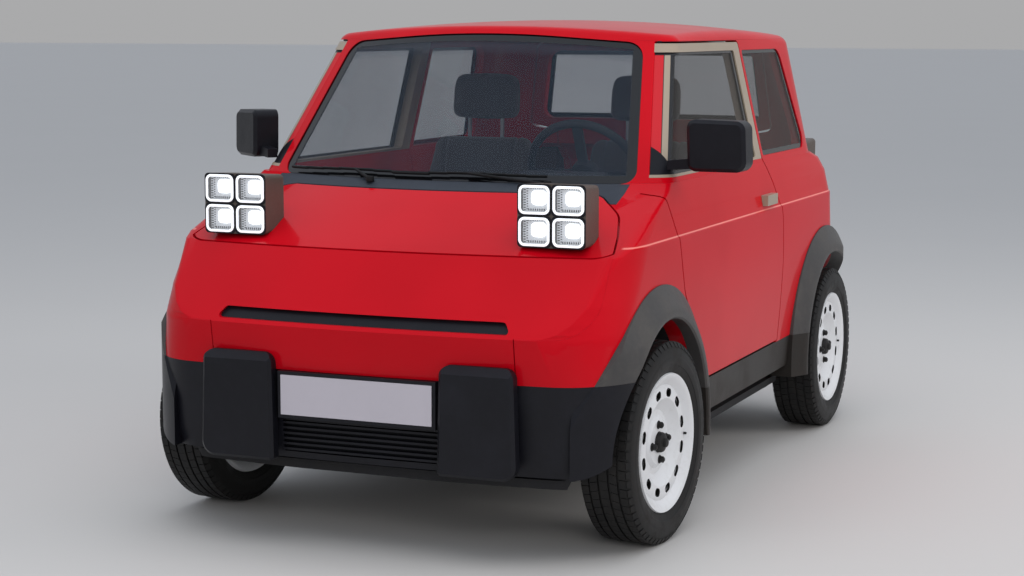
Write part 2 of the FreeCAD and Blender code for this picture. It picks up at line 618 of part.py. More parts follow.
# Plate carriers, grille opening and bumper pads
PLATE_HALF = 227.0
PLATE_LOW = 376.0
PLATE_TALL = 110.0
PLATE_THICK = 2.7
CARRIER_BORDER = 10.0
CARRIER_Y = NOSE_Y + 8.0
REAR_PLATE_LOW = 345.0
REAR_CARRIER_Y = TAIL_Y + 3.0
REAR_CARRIER_BORDER = 15.0
GRILLE_HALF = 238.0
GRILLE_LOW = 266.0
GRILLE_HIGH = PLATE_LOW - 20.0
GRILLE_BARS = 6
GRILLE_BAR = 6.0
GRILLE_Y = NOSE_Y + 57.0
carrier = box(-PLATE_HALF - CARRIER_BORDER, PLATE_HALF + CARRIER_BORDER, CARRIER_Y, CARRIER_Y + 50.0,
              PLATE_LOW - CARRIER_BORDER, PLATE_LOW + PLATE_TALL + CARRIER_BORDER)
rear_carrier = box(-PLATE_HALF - 35.0, PLATE_HALF + 35.0, REAR_CARRIER_Y - 57.0, REAR_CARRIER_Y,
                   REAR_PLATE_LOW - REAR_CARRIER_BORDER, REAR_PLATE_LOW + PLATE_TALL + REAR_CARRIER_BORDER)
grille_hole = box(-GRILLE_HALF, GRILLE_HALF, NOSE_Y - WALL, GRILLE_Y + 50.0, GRILLE_LOW, GRILLE_HIGH)
front_bumper = front_bumper.fuse(carrier).cut(grille_hole)
front_bumper = front_bumper.common(front_prism(BUMPER_LIMIT, NOSE_Y - WALL, 0.0))
rear_bumper = rear_bumper.fuse(rear_carrier).common(front_prism(BUMPER_LIMIT, 0.0, TAIL_Y + WALL))
grille_half = GRILLE_HALF - SKIN_GAP
grille = box(-grille_half, grille_half, GRILLE_Y, GRILLE_Y + GRILLE_BAR, GRILLE_LOW + SKIN_GAP,
             GRILLE_HIGH - SKIN_GAP)
bar_pitch = (GRILLE_HIGH - GRILLE_LOW - 2.0) / GRILLE_BARS
for index in range(GRILLE_BARS):
    level = GRILLE_LOW + GRILLE_BAR + index * bar_pitch
    grille = grille.fuse(box(-grille_half, grille_half, GRILLE_Y - 21.0, GRILLE_Y + 1.0,
                             level, level + GRILLE_BAR))
plates = Part.makeCompound([
    box(-PLATE_HALF, PLATE_HALF, CARRIER_Y - SKIN_GAP - PLATE_THICK, CARRIER_Y - SKIN_GAP,
        PLATE_LOW, PLATE_LOW + PLATE_TALL),
    box(-PLATE_HALF, PLATE_HALF, REAR_CARRIER_Y + SKIN_GAP, REAR_CARRIER_Y + SKIN_GAP + PLATE_THICK,
        REAR_PLATE_LOW, REAR_PLATE_LOW + PLATE_TALL),
])
PAD_TOP = BUMPER_TOP + 48.0
PAD_OUTLINE = ((246.0, BUMPER_LOW - 2.0, 12.0), (252.0, PAD_TOP, 30.0), (464.0, PAD_TOP, 30.0),
               (474.0, BUMPER_LOW - 2.0, 40.0))
PAD_Y = NOSE_Y - 11.0
PAD_BEVEL = 9.0
PAD_SLOPE = 22.0
pad = front_prism(PAD_OUTLINE, PAD_Y, PAD_Y + 36.0)
pad = pad.makeChamfer(PAD_BEVEL, [edge for edge in pad.Edges if edge.BoundBox.YMax < PAD_Y + 0.1])
pad = pad.cut(side_prism(((PAD_Y - 10.0, PAD_TOP - PAD_SLOPE - 10.0), (PAD_Y - 10.0, PAD_TOP + 10.0),
                          (PAD_Y + PAD_SLOPE + 10.0, PAD_TOP + 10.0)), 0.0, WIDE))
rear_pad = pad.mirror(Vector(0, 0, 0), Vector(0, 1, 0))
rear_pad.translate(Vector(0, TAIL_Y + NOSE_Y + 3.0, 0))
pads = Part.makeCompound([both(pad.cut(flare_clear)), both(rear_pad.cut(flare_clear))])
pads = pads.cut(Part.makeCompound([carrier, rear_carrier]))

# Lamp clusters: tapered blocks with four square cells; the front ones ride on the bonnet
LAMP_SPAN = (385.0, 582.0)
LAMP_LOW = SEAM_Z + 22.0
LAMP_TOP = BELT_Z + 11.0
LAMP_Y = NOSE_Y + 217.0
LAMP_DEPTH = 118.0
LAMP_TAPER = 7.0
LAMP_ROUND = 14.0
CELL = 78.0
CELL_ROUND = 12.0
CELL_DEPTH = 18.0
LENS_SET = 3.0
REAR_LAMP_SPAN = (400.0, 582.0)
REAR_LAMP_LOW = LAMP_LOW + 13.0
REAR_LAMP_TOP = BELT_Z + 14.0
REAR_LAMP_Y = TAIL_Y - 24.0
REAR_LAMP_DEPTH = 130.0
REAR_CELL = 74.0


def rectangle(u0, u1, v0, v1, corner):
    """Rectangle outline with equal rounded corners."""
    return (u0, v0, corner), (u0, v1, corner), (u1, v1, corner), (u1, v0, corner)


def lamp_block(span, low, top, face_y, way, depth, grow):
    """Lamp housing that narrows from its face towards its back, grown all round."""
    wires = []
    for y, taper in ((face_y - way * grow, 0.0), (face_y + way * (depth + grow), LAMP_TAPER)):
        points = rectangle(span[0] + taper, span[1] - taper, low, top - taper, LAMP_ROUND)
        wires.append(front_face(points, y, grow).OuterWire)
    return Part.makeLoft(wires, True, True)


def lamp_cell(x, z, size, corner, y0, y1):
    """Square cell with rounded corners about (x, z)."""
    half = size / 2
    return front_prism(rectangle(x - half, x + half, z - half, z + half, corner), y0, y1)


def lamp_cluster(span, low, top, face_y, way, depth, cell):
    """Housing and its four lenses; way points from the face into the housing."""
    housing = lamp_block(span, low, top, face_y, way, depth, 0.0)
    lenses = []
    middle_x = (span[0] + span[1]) / 2
    middle_z = (low + top) / 2
    pitch_x = (span[1] - span[0]) / 4
    pitch_z = (top - low) / 4
    for step_x in (-1, 1):
        for step_z in (-1, 1):
            x = middle_x + step_x * pitch_x
            z = middle_z + step_z * pitch_z
            floor_y = face_y + way * CELL_DEPTH
            housing = housing.cut(lamp_cell(x, z, cell, CELL_ROUND, face_y - way, floor_y))
            lenses.append(lamp_cell(x, z, cell - 2 * SKIN_GAP, CELL_ROUND - SKIN_GAP,
                                    face_y + way * LENS_SET, floor_y - way * SKIN_GAP))
    return housing, Part.makeCompound(lenses)


lamp_sizes = (LAMP_SPAN, LAMP_LOW, LAMP_TOP, LAMP_Y, 1, LAMP_DEPTH)
rear_lamp_sizes = (REAR_LAMP_SPAN, REAR_LAMP_LOW, REAR_LAMP_TOP, REAR_LAMP_Y, -1, REAR_LAMP_DEPTH)
lamp_housing, lamp_lenses = lamp_cluster(*lamp_sizes, CELL)
rear_housing, rear_lenses = lamp_cluster(*rear_lamp_sizes, REAR_CELL)
bonnet = bonnet.cut(both(lamp_block(*lamp_sizes, SKIN_GAP)))
rear_housing = rear_housing.cut(cabin_form(-SKIN_GAP, 0.0))
shell = shell.cut(both(lamp_block(*rear_lamp_sizes, SKIN_GAP)))
rear_lamp_outline = rectangle(*REAR_LAMP_SPAN, REAR_LAMP_LOW, REAR_LAMP_TOP, LAMP_ROUND)
shell = shell.cut(both(front_prism(rear_lamp_outline, REAR_LAMP_Y + SKIN_GAP, TAIL_Y + WALL, SKIN_GAP)))

# Floor pan with wheel housings, bulkhead and jacking pads
FLOOR_LOW = UNDER_Z + 6.0
FLOOR_TOP = FLOOR_LOW + 26.0
FLOOR_REACH = 1240.0
BULKHEAD_Y = -640.0
BULKHEAD_THICK = 12.0
BULKHEAD_TOP = SEAM_Z + 39.0
JACK_X = 580.0
JACK_FRONT_Y = -450.0
JACK_REAR_Y = 560.0
room = body_form(WALL + SKIN_GAP)
floor = room.common(wide(-FLOOR_REACH, FLOOR_REACH, FLOOR_LOW, FLOOR_TOP))
housings = Part.makeCompound([well(side, axle_y, start, LINER) for name, side, axle_y, start in WHEELS])
liners = room.common(wide(-FLOOR_REACH - 30.0, FLOOR_REACH + 30.0, FLOOR_LOW, WHEEL_Z + WELL_R + WALL))
liners = liners.common(housings)
bulkhead = room.common(wide(BULKHEAD_Y, BULKHEAD_Y + BULKHEAD_THICK, FLOOR_LOW, BULKHEAD_TOP))
floor = floor.fuse(liners).fuse(bulkhead).cut(wells)
for side in (1, -1):
    for jack_y in (JACK_FRONT_Y, JACK_REAR_Y):
        floor = floor.fuse(box(side * (JACK_X - 35.0), side * (JACK_X + 35.0), jack_y - 20.0, jack_y + 20.0,
                               UNDER_Z, FLOOR_LOW))

# Cabin furniture
SEAT_X = 285.0
SEAT_HALF = 215.0
SEAT_Y = 0.0
HEAD_HALF = 125.0
SEAT_Z = FLOOR_TOP + 188.0
POST_R = 7.0
cushion = side_prism(((SEAT_Y - 330.0, SEAT_Z, 40.0), (SEAT_Y - 330.0, SEAT_Z + 140.0, 45.0),
                      (SEAT_Y + 110.0, SEAT_Z + 120.0, 20.0), (SEAT_Y + 130.0, SEAT_Z - 20.0, 30.0)),
                     SEAT_X - SEAT_HALF, SEAT_X + SEAT_HALF)
seat_back = side_prism(((SEAT_Y + 70.0, SEAT_Z + 125.0, 20.0), (SEAT_Y + 165.0, SEAT_Z + 665.0, 40.0),
                        (SEAT_Y + 255.0, SEAT_Z + 655.0, 30.0), (SEAT_Y + 190.0, SEAT_Z + 10.0, 30.0),
                        (SEAT_Y + 120.0, SEAT_Z + 10.0)), SEAT_X - SEAT_HALF, SEAT_X + SEAT_HALF)
head = side_prism(((SEAT_Y + 170.0, SEAT_Z + 695.0, 30.0), (SEAT_Y + 190.0, SEAT_Z + 865.0, 35.0),
                   (SEAT_Y + 280.0, SEAT_Z + 855.0, 35.0), (SEAT_Y + 265.0, SEAT_Z + 690.0, 30.0)),
                  SEAT_X - HEAD_HALF, SEAT_X + HEAD_HALF)
seat_base = box(SEAT_X - 170.0, SEAT_X + 170.0, SEAT_Y - 260.0, SEAT_Y + 120.0,
                FLOOR_TOP + SKIN_GAP, SEAT_Z + 5.0)
seat = cushion.fuse(seat_back).fuse(head).fuse(seat_base)
for post_x in (SEAT_X - 60.0, SEAT_X + 60.0):
    seat = seat.fuse(rod(post_x, SEAT_Y + 218.0, SEAT_Z + 630.0, POST_R, 90.0, (0, 0, 1)))
DASH_HALF = 580.0
DASH_FRONT_Y = BULKHEAD_Y - 50.0
dash_form = side_prism(((DASH_FRONT_Y, BELT_Z - 244.0, 20.0), (DASH_FRONT_Y, BELT_Z - 74.0, 15.0),
                        (DASH_FRONT_Y + 130.0, BELT_Z - 42.0, 30.0),
                        (DASH_FRONT_Y + 220.0, BELT_Z - 74.0, 30.0),
                        (DASH_FRONT_Y + 210.0, BELT_Z - 284.0, 30.0)), -DASH_HALF, DASH_HALF)
dash_room = body_form(WALL + SEAM).fuse(cabin_form(WALL, ROOF_WALL + 4.0))
dashboard = dash_form.common(dash_room)
dashboard = dashboard.cut(wide(BULKHEAD_Y - SKIN_GAP, BULKHEAD_Y + BULKHEAD_THICK + SKIN_GAP, 0.0,
                               BULKHEAD_TOP + SKIN_GAP))

# Steering wheel on its column
COLUMN_X = 290.0
COLUMN_TILT = 27.0
COLUMN_R = 32.0
SHAFT_R = 15.0
SHAFT_LONG = 190.0
STEER_RING_R = 176.0
STEER_GRIP_R = 13.0
SPOKE = 30.0
SPOKE_THICK = 12.0
column_way = Vector(0, math.cos(math.radians(COLUMN_TILT)), math.sin(math.radians(COLUMN_TILT)))
wheel_centre = Vector(COLUMN_X, BULKHEAD_Y + 288.0, BELT_Z - 19.0)
column_start = wheel_centre - column_way * SHAFT_LONG
column = Part.makeCylinder(COLUMN_R, SHAFT_LONG - 40.0, column_start, column_way)
column = column.fuse(Part.makeCylinder(SHAFT_R - 0.05, SHAFT_LONG, column_start, column_way))
steering_wheel = Part.makeTorus(STEER_RING_R, STEER_GRIP_R, wheel_centre, column_way)
hub = Part.makeCylinder(46.0, 34.0, wheel_centre - column_way * 22.0, column_way)
spokes = Part.makeBox(2 * STEER_RING_R, SPOKE, SPOKE_THICK, Vector(-STEER_RING_R, -SPOKE / 2, -8.0))
spokes = spokes.fuse(Part.makeBox(SPOKE, STEER_RING_R, SPOKE_THICK, Vector(-SPOKE / 2, -STEER_RING_R, -8.0)))
spokes.rotate(Vector(0, 0, 0), Vector(1, 0, 0), COLUMN_TILT - 90.0)
spokes.translate(wheel_centre)
column_bore = Part.makeCylinder(SHAFT_R, 24.0, wheel_centre - column_way * 23.0, column_way)
steering_wheel = steering_wheel.fuse(hub).fuse(spokes).cut(column_bore)
dashboard = dashboard.cut(Part.makeCylinder(COLUMN_R + SKIN_GAP, SHAFT_LONG + 70.0,
                                            column_start - column_way * 20.0, column_way))

# Door mirrors: a rounded box on a flat arm from the window corner; the right one is folded back
MIRROR_Y = -605.0
MIRROR_LOW = BELT_Z + 20.0
MIRROR_FOLD = 40.0
MIRROR_PIVOT_X = 655.0
MIRROR_PLATE = ((-694.0, BELT_Z + 4.0), (-592.0, BELT_Z + 126.0), (-592.0, BELT_Z + 4.0))
mirror_head = front_prism(((705.0, MIRROR_LOW, 26.0), (700.0, MIRROR_LOW + 148.0, 24.0),
                           (872.0, MIRROR_LOW + 144.0, 28.0), (878.0, MIRROR_LOW, 30.0)),
                          MIRROR_Y - 40.0, MIRROR_Y + 40.0)
mirror_head = mirror_head.makeChamfer(
    10.0, [edge for edge in mirror_head.Edges if edge.BoundBox.YMax < MIRROR_Y - 39.9])
arm = front_prism(((640.0, MIRROR_LOW + 2.0), (640.0, MIRROR_LOW + 28.0), (712.0, MIRROR_LOW + 36.0),
                   (712.0, MIRROR_LOW + 6.0)), MIRROR_Y - 20.0, MIRROR_Y + 12.0)
mirror_head = mirror_head.fuse(arm)
plate_zone = side_prism(MIRROR_PLATE, INBOARD_X, WIDE).cut(inboard)
foot_skin = cabin_form(GLASS_DEPTH - SKIN_GAP, GLASS_DEPTH - SKIN_GAP).cut(cabin_form(30.0, 30.0))
mirror_foot = foot_skin.common(plate_zone).cut(door_high.fuse(door_low))
door_glass = door_glass.cut(side_prism(MIRROR_PLATE, INBOARD_X, WIDE, SKIN_GAP))
arm_clear = cabin_form(10.0, 10.0)
folded_head = mirror_head.copy()
folded_head.rotate(Vector(MIRROR_PIVOT_X, MIRROR_Y, 0), Vector(0, 0, 1), MIRROR_FOLD)
mirror_left = mirror_head.cut(arm_clear).fuse(mirror_foot)
mirror_right = mirrored(folded_head.cut(arm_clear).fuse(mirror_foot))

# Door handle
HANDLE_LOW = SEAM_Z + 35.0
handle = box(HALF_WIDTH - 100.0, HALF_WIDTH + 7.0, DOOR_REAR_Y - 88.0, DOOR_REAR_Y + 32.0,
             HANDLE_LOW, HANDLE_LOW + 34.0)
handle = handle.cut(flare_clear)

# Wheels
BEAD_R = TYRE_R - 107.0
RIM_R = BEAD_R + 18.0
SEAT_SIDE = 59.0
DISC_FACE = 58.0
HUB_BORE_R = 30.0
HUB_R = HUB_BORE_R - 0.05
HUB_FACE = 45.0
RIM_PROFILE = (
    (SEAT_SIDE + 8.0, RIM_R), (72.0, RIM_R - 2.0), (70.0, RIM_R - 12.0), (60.0, BEAD_R - 8.0),
    (54.0, BEAD_R - 16.0), (DISC_FACE, BEAD_R - 25.0), (DISC_FACE, BEAD_R - 54.0), (44.0, BEAD_R - 72.0),
    (34.0, BEAD_R - 88.0), (36.0, HUB_BORE_R + 44.0), (HUB_FACE, HUB_BORE_R + 32.0), (HUB_FACE, HUB_BORE_R),
    (HUB_FACE - 6.0, HUB_BORE_R), (HUB_FACE - 6.0, HUB_BORE_R + 28.0), (29.0, HUB_BORE_R + 42.0),
    (27.0, BEAD_R - 84.0), (38.0, BEAD_R - 66.0), (DISC_FACE - 7.0, BEAD_R - 48.0),
    (DISC_FACE - 7.0, BEAD_R - 30.0), (44.0, BEAD_R - 20.0), (-58.0, BEAD_R - 15.0), (-70.0, RIM_R - 12.0),
    (-72.0, RIM_R - 2.0), (-SEAT_SIDE - 8.0, RIM_R), (-SEAT_SIDE, BEAD_R), (SEAT_SIDE, BEAD_R),
)
TYRE_PROFILE = (
    (-SEAT_SIDE + 1.5, BEAD_R + SKIN_GAP), (-79.5, BEAD_R + 50.0), (-72.0, TYRE_R - 11.0), (-56.0, TYRE_R),
    (56.0, TYRE_R), (72.0, TYRE_R - 11.0), (79.5, BEAD_R + 50.0), (SEAT_SIDE - 1.5, BEAD_R + SKIN_GAP),
)
VENTS = 12
VENT_R = BEAD_R - 38.0
VENT_LONG = 18.0
VENT_HALF = 12.0


def wheel_parts(side, axle_y):
    """Tyre and rim of one wheel at its place."""
    tyre = turned(TYRE_PROFILE, side * WHEEL_X, axle_y, WHEEL_Z, side)
    rim = turned(RIM_PROFILE, side * WHEEL_X, axle_y, WHEEL_Z, side)
    vent = rectangle(-VENT_LONG, VENT_LONG, VENT_R - VENT_HALF, VENT_R + VENT_HALF, VENT_HALF - 0.1)
    slot = side_prism(vent, side * (WHEEL_X + DISC_FACE - 14.0), side * (WHEEL_X + DISC_FACE + 5.0))
    slots = []
    for index in range(VENTS):
        turned_slot = slot.copy()
        turned_slot.rotate(Vector(0, 0, 0), Vector(1, 0, 0), 360.0 / VENTS * (index + 0.5))
        turned_slot.translate(Vector(0, axle_y, WHEEL_Z))
        slots.append(turned_slot)
    return tyre, rim.cut(Part.makeCompound(slots))


def steered(shape, side):
    """Shape turned about its kingpin by the angle at which the car is parked."""
    out = shape.copy()
    out.rotate(Vector(side * KINGPIN_X, FRONT_AXLE_Y, 0), Vector(0, 0, 1), REST_STEER)
    return out


# Axles: the front wheels turn on knuckles, the rear ones on a beam
STUB_LONG = HUB_FACE - 1.0
PIN_R = 10.0
ARM_LOW = 176.0
KNUCKLE_LOW = UNDER_Z + 8.0
DISC_R = 112.0


def knuckle_shape(side):
    """Hub carrier with its stub, brake disc and kingpin, straight ahead."""
    x = side * KINGPIN_X
    upright = box(x - side * 14.0, x + side * 34.0, FRONT_AXLE_Y - 28.0, FRONT_AXLE_Y + 28.0,
                  KNUCKLE_LOW, WHEEL_Z + DISC_R + 3.0)
    stub = rod(x, FRONT_AXLE_Y, WHEEL_Z, HUB_R, WHEEL_X + STUB_LONG - KINGPIN_X, (side, 0, 0))
    disc = rod(x + side * 50.0, FRONT_AXLE_Y, WHEEL_Z, DISC_R, 20.0, (side, 0, 0))
    pin = rod(x, FRONT_AXLE_Y, ARM_LOW - 4.0, PIN_R - 0.05, 60.0, (0, 0, 1))
    return upright.fuse(stub).fuse(disc).fuse(pin)


for name, side, axle_y, start in WHEELS:
    tyre, rim = wheel_parts(side, axle_y)
    if axle_y == FRONT_AXLE_Y:
        tyre = steered(tyre, side)
        rim = steered(rim, side)
        keep("knuckle_" + name, steered(knuckle_shape(side), side))
    keep("tyre_" + name, tyre)
    keep("rim_" + name, rim)

FRAME_TOP = FLOOR_LOW - SKIN_GAP
crossmember = box(-320.0, 320.0, FRONT_AXLE_Y - 70.0, FRONT_AXLE_Y + 70.0, 160.0, FRAME_TOP)
BEAM_X = 560.0
BEAM_HALF = 32.0
ARM_X = 430.0
ARM_WIDE = 60.0
ARM_BASE = 180.0
ARM_FRONT_Y = 560.0
beam_low = WHEEL_Z - 35.0
beam_high = WHEEL_Z + 25.0
rear_axle = box(-BEAM_X, BEAM_X, REAR_AXLE_Y - BEAM_HALF, REAR_AXLE_Y + BEAM_HALF, beam_low, beam_high)
for side in (1, -1):
    crossmember = crossmember.fuse(box(side * 300.0, side * (KINGPIN_X + 22.0), FRONT_AXLE_Y - 22.0,
                                       FRONT_AXLE_Y + 22.0, ARM_LOW, UNDER_Z))
    crossmember = crossmember.cut(rod(side * KINGPIN_X, FRONT_AXLE_Y, ARM_LOW - 26.0, PIN_R, 100.0,
                                      (0, 0, 1)))
    rear_axle = rear_axle.fuse(rod(side * (BEAM_X - 10.0), REAR_AXLE_Y, WHEEL_Z, HUB_R,
                                   WHEEL_X + STUB_LONG - BEAM_X + 10.0, (side, 0, 0)))
    rear_axle = rear_axle.fuse(rod(side * (WHEEL_X - 60.0), REAR_AXLE_Y, WHEEL_Z, DISC_R - 7.0, 30.0,
                                   (side, 0, 0)))
    rear_axle = rear_axle.fuse(box(side * ARM_X, side * (ARM_X + ARM_WIDE), ARM_FRONT_Y, REAR_AXLE_Y,
                                   ARM_BASE, FRAME_TOP))
    rear_axle = rear_axle.fuse(box(side * ARM_X, side * (ARM_X + ARM_WIDE), REAR_AXLE_Y - BEAM_HALF,
                                   REAR_AXLE_Y + BEAM_HALF, ARM_BASE, WHEEL_Z))
axle_room = box(-BEAM_X - 40.0, BEAM_X + 40.0, REAR_AXLE_Y - BEAM_HALF - 13.0, REAR_AXLE_Y + BEAM_HALF + 13.0,
                UNDER_Z / 2, beam_high + 13.0)
floor = floor.cut(axle_room)
MOTOR_HALF = 240.0
motor = box(-MOTOR_HALF, MOTOR_HALF, FRONT_AXLE_Y - 230.0, FRONT_AXLE_Y + 180.0, FLOOR_TOP + SKIN_GAP, 560.0)

# Hand over
keep("body_shell", shell)
keep("roof", roof)
keep("cowl", cowl)
keep("nose_panel", nose_panel)
keep("nose_slot", nose_slot)
keep("windscreen", windscreen)
keep("quarter_glass", both(quarter_glass))
keep("front_bumper", front_bumper)
keep("rear_bumper", rear_bumper)
keep("bumper_pads", pads)
keep("front_grille", grille)
keep("number_plates", plates)
keep("sills", sills)
keep("wheel_flares", Part.makeCompound(flares))
keep("floor_pan", floor)
keep("rear_lamp_housings", both(rear_housing))
keep("rear_lamp_lenses", both(rear_lenses))
keep("bonnet", bonnet)
keep("lamp_housings", both(lamp_housing))
keep("lamp_lenses", both(lamp_lenses))
keep("tailgate", tailgate)
keep("tailgate_glass", tailgate_glass)
keep("seats", both(seat))
keep("dashboard", dashboard)
keep("steering_column", column)
keep("steering_wheel", steering_wheel)
keep("front_crossmember", crossmember)
keep("rear_axle", rear_axle)
keep("motor", motor)
keep("mirror_left", mirror_left)
keep("mirror_right", mirror_right)
for name, shape in (("door", door_low), ("door_trim", door_high.fuse(handle)), ("door_glass", door_glass)):
    keep(name + "_left", shape)
    keep(name + "_right", mirrored(shape))

total = 0.0
for name in sorted(NODES):
    shape = NODES[name]
    shape.exportStep("parts/" + name + ".step")
    total += shape.Volume
    print("%-20s solids %d faces %3d valid %s litres %.1f" % (
        name, len(shape.Solids), len(shape.Faces), shape.isValid(), shape.Volume / 1e6))
print("nodes", len(NODES), "litres", round(total / 1e6, 1))
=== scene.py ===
import json
import logging
import math
from dataclasses import dataclass, field
from enum import Enum
from typing import Callable, Iterable, Optional, Sequence, Union

import bmesh
import bpy
from mathutils import Matrix, Vector


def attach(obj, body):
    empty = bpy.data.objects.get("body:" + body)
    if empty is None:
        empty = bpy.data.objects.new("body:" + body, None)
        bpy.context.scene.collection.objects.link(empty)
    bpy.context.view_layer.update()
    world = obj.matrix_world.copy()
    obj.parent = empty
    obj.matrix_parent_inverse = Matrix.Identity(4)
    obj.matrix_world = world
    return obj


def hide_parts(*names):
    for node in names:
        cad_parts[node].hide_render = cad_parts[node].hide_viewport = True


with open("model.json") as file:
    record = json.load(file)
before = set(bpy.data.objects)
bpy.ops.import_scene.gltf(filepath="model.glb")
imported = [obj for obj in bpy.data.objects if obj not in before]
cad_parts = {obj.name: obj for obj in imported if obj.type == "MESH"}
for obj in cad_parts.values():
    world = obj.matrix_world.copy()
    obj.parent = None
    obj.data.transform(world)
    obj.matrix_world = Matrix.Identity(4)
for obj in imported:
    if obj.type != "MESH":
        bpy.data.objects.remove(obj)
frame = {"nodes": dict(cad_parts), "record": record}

LOG = logging.getLogger("kei_car")
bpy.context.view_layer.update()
Number = Union[int, float]
Colour = tuple[float, float, float]


class Body(Enum):
    """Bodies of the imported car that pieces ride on."""

    SHELL = "body"
    BONNET = "bonnet"
    DOOR_LEFT = "door_left"
    DOOR_RIGHT = "door_right"
    WHEEL_FL = "wheel_fl"
    WHEEL_FR = "wheel_fr"
    WHEEL_RL = "wheel_rl"
    WHEEL_RR = "wheel_rr"


class Side(Enum):
    """Left and right of the car, as the sign of X."""

    LEFT = 1
    RIGHT = -1

    @property
    def door(self) -> Body:
        """The door on this side."""
        return Body.DOOR_LEFT if self is Side.LEFT else Body.DOOR_RIGHT


class Sock:
    """A socket of a finish's node tree that takes part in arithmetic."""

    def __init__(self, tree: "Tree", link: bpy.types.NodeSocket) -> None:
        """Wrap an output socket."""
        self.tree = tree
        self.link = link

    def _do(self, operation: str, *values: Union["Sock", Number]) -> "Sock":
        """Add one Math node."""
        return self.tree.node("ShaderNodeMath", {"operation": operation}, list(values))

    def __add__(self, other: Union["Sock", Number]) -> "Sock":
        """Sum."""
        return self._do("ADD", self, other)

    __radd__ = __add__

    def __sub__(self, other: Union["Sock", Number]) -> "Sock":
        """Difference."""
        return self._do("SUBTRACT", self, other)

    def __rsub__(self, other: Number) -> "Sock":
        """Difference from a number."""
        return self._do("SUBTRACT", other, self)

    def __mul__(self, other: Union["Sock", Number]) -> "Sock":
        """Product."""
        return self._do("MULTIPLY", self, other)

    __rmul__ = __mul__

    def __abs__(self) -> "Sock":
        """Size without sign."""
        return self._do("ABSOLUTE", self)

    def wave(self) -> "Sock":
        """Sine."""
        return self._do("SINE", self)

    def most(self, other: Union["Sock", Number]) -> "Sock":
        """The larger of two."""
        return self._do("MAXIMUM", self, other)

    def ramp(self, low: float, high: float) -> "Sock":
        """Smooth step from 0 at low to 1 at high."""
        values = {"Value": self, "From Min": low, "From Max": high}
        return self.tree.node("ShaderNodeMapRange", {"interpolation_type": "SMOOTHSTEP"}, values)


class Tree:
    """Node tree of one finish."""

    def __init__(self, name: str, sky: bool = False) -> None:
        """Start a material, or the sky, with an empty tree and its output.

        Args:
            name: the material's name.
            sky: whether it is the world's sky in place of a material.
        """
        self.material = bpy.data.worlds.new(name) if sky else bpy.data.materials.new(name)
        self.material.use_nodes = True
        self.nodes = self.material.node_tree.nodes
        self.links = self.material.node_tree.links
        self.nodes.clear()
        self.output = self.nodes.new("ShaderNodeOutputWorld" if sky else "ShaderNodeOutputMaterial")

    def node(self, kind: str, settings: Optional[dict] = None, values: Union[dict, Sequence, None] = None,
             out: Union[int, str] = 0) -> Sock:
        """Add any node.

        Args:
            kind: the node's type.
            settings: its properties, set before its sockets.
            values: numbers or sockets by name or by place.
            out: which output to return.

        Returns:
            The chosen output.
        """
        made = self.nodes.new(kind)
        for key, value in (settings or {}).items():
            setattr(made, key, value)
        pairs = values.items() if isinstance(values, dict) else enumerate(values or [])
        for key, value in pairs:
            self.feed(made.inputs[key], value)
        return Sock(self, made.outputs[out])

    def feed(self, socket: bpy.types.NodeSocket, value: Union[Sock, Number, Sequence]) -> None:
        """Link or set one input.

        Args:
            socket: the input.
            value: what it takes: an output, a number, a name or a colour.
        """
        if isinstance(value, Sock):
            self.links.new(value.link, socket)
            return
        if isinstance(value, tuple) and len(value) == 3 and socket.type == "RGBA":
            value = (*value, 1.0)
        socket.default_value = value

    def place(self) -> Sock:
        """Object coordinates in metres."""
        return self.node("ShaderNodeTexCoord", out="Object")

    def axes(self) -> tuple[Sock, Sock, Sock]:
        """Object coordinates one by one.

        Returns:
            Across, along and height, in metres.
        """
        split = self.nodes.new("ShaderNodeSeparateXYZ")
        self.feed(split.inputs[0], self.place())
        return tuple(Sock(self, output) for output in split.outputs)

    def noise(self, scale: float, detail: float = 3.0, rough: float = 0.5) -> Sock:
        """Fractal noise from 0 to 1."""
        values = {"Vector": self.place(), "Scale": scale, "Detail": detail, "Roughness": rough}
        return self.node("ShaderNodeTexNoise", None, values)

    def grain(self, scale: float) -> Sock:
        """Cell pattern from 0 to 1."""
        return self.node("ShaderNodeTexVoronoi", None, {"Vector": self.place(), "Scale": scale})

    def mixed(self, factor: Union[Sock, float], first: Union[Sock, Colour],
              second: Union[Sock, Colour]) -> Sock:
        """Blend of two colours.

        Args:
            factor: share of the second colour.
            first: colour where the factor is 0.
            second: colour where the factor is 1.

        Returns:
            The blended colour.
        """
        made = self.nodes.new("ShaderNodeMix")
        made.data_type = "RGBA"
        self.feed(made.inputs[0], factor)
        self.feed(made.inputs[6], first)
        self.feed(made.inputs[7], second)
        return Sock(self, made.outputs[2])

    def relief(self, height: Sock, strength: float, depth: float) -> Sock:
        """Normal raised by a height pattern."""
        return self.node("ShaderNodeBump", None, {"Height": height, "Strength": strength, "Distance": depth})

    def shade(self, **values: Union[Sock, Number, Sequence]) -> bpy.types.Material:
        """Close the tree with one Principled shader.

        Args:
            values: sockets of the shader, with underscores for spaces.

        Returns:
            The finished material.
        """
        shader = self.node("ShaderNodeBsdfPrincipled", None,
                           {key.replace("_", " "): value for key, value in values.items()})
        self.feed(self.output.inputs[0], shader)
        return self.material


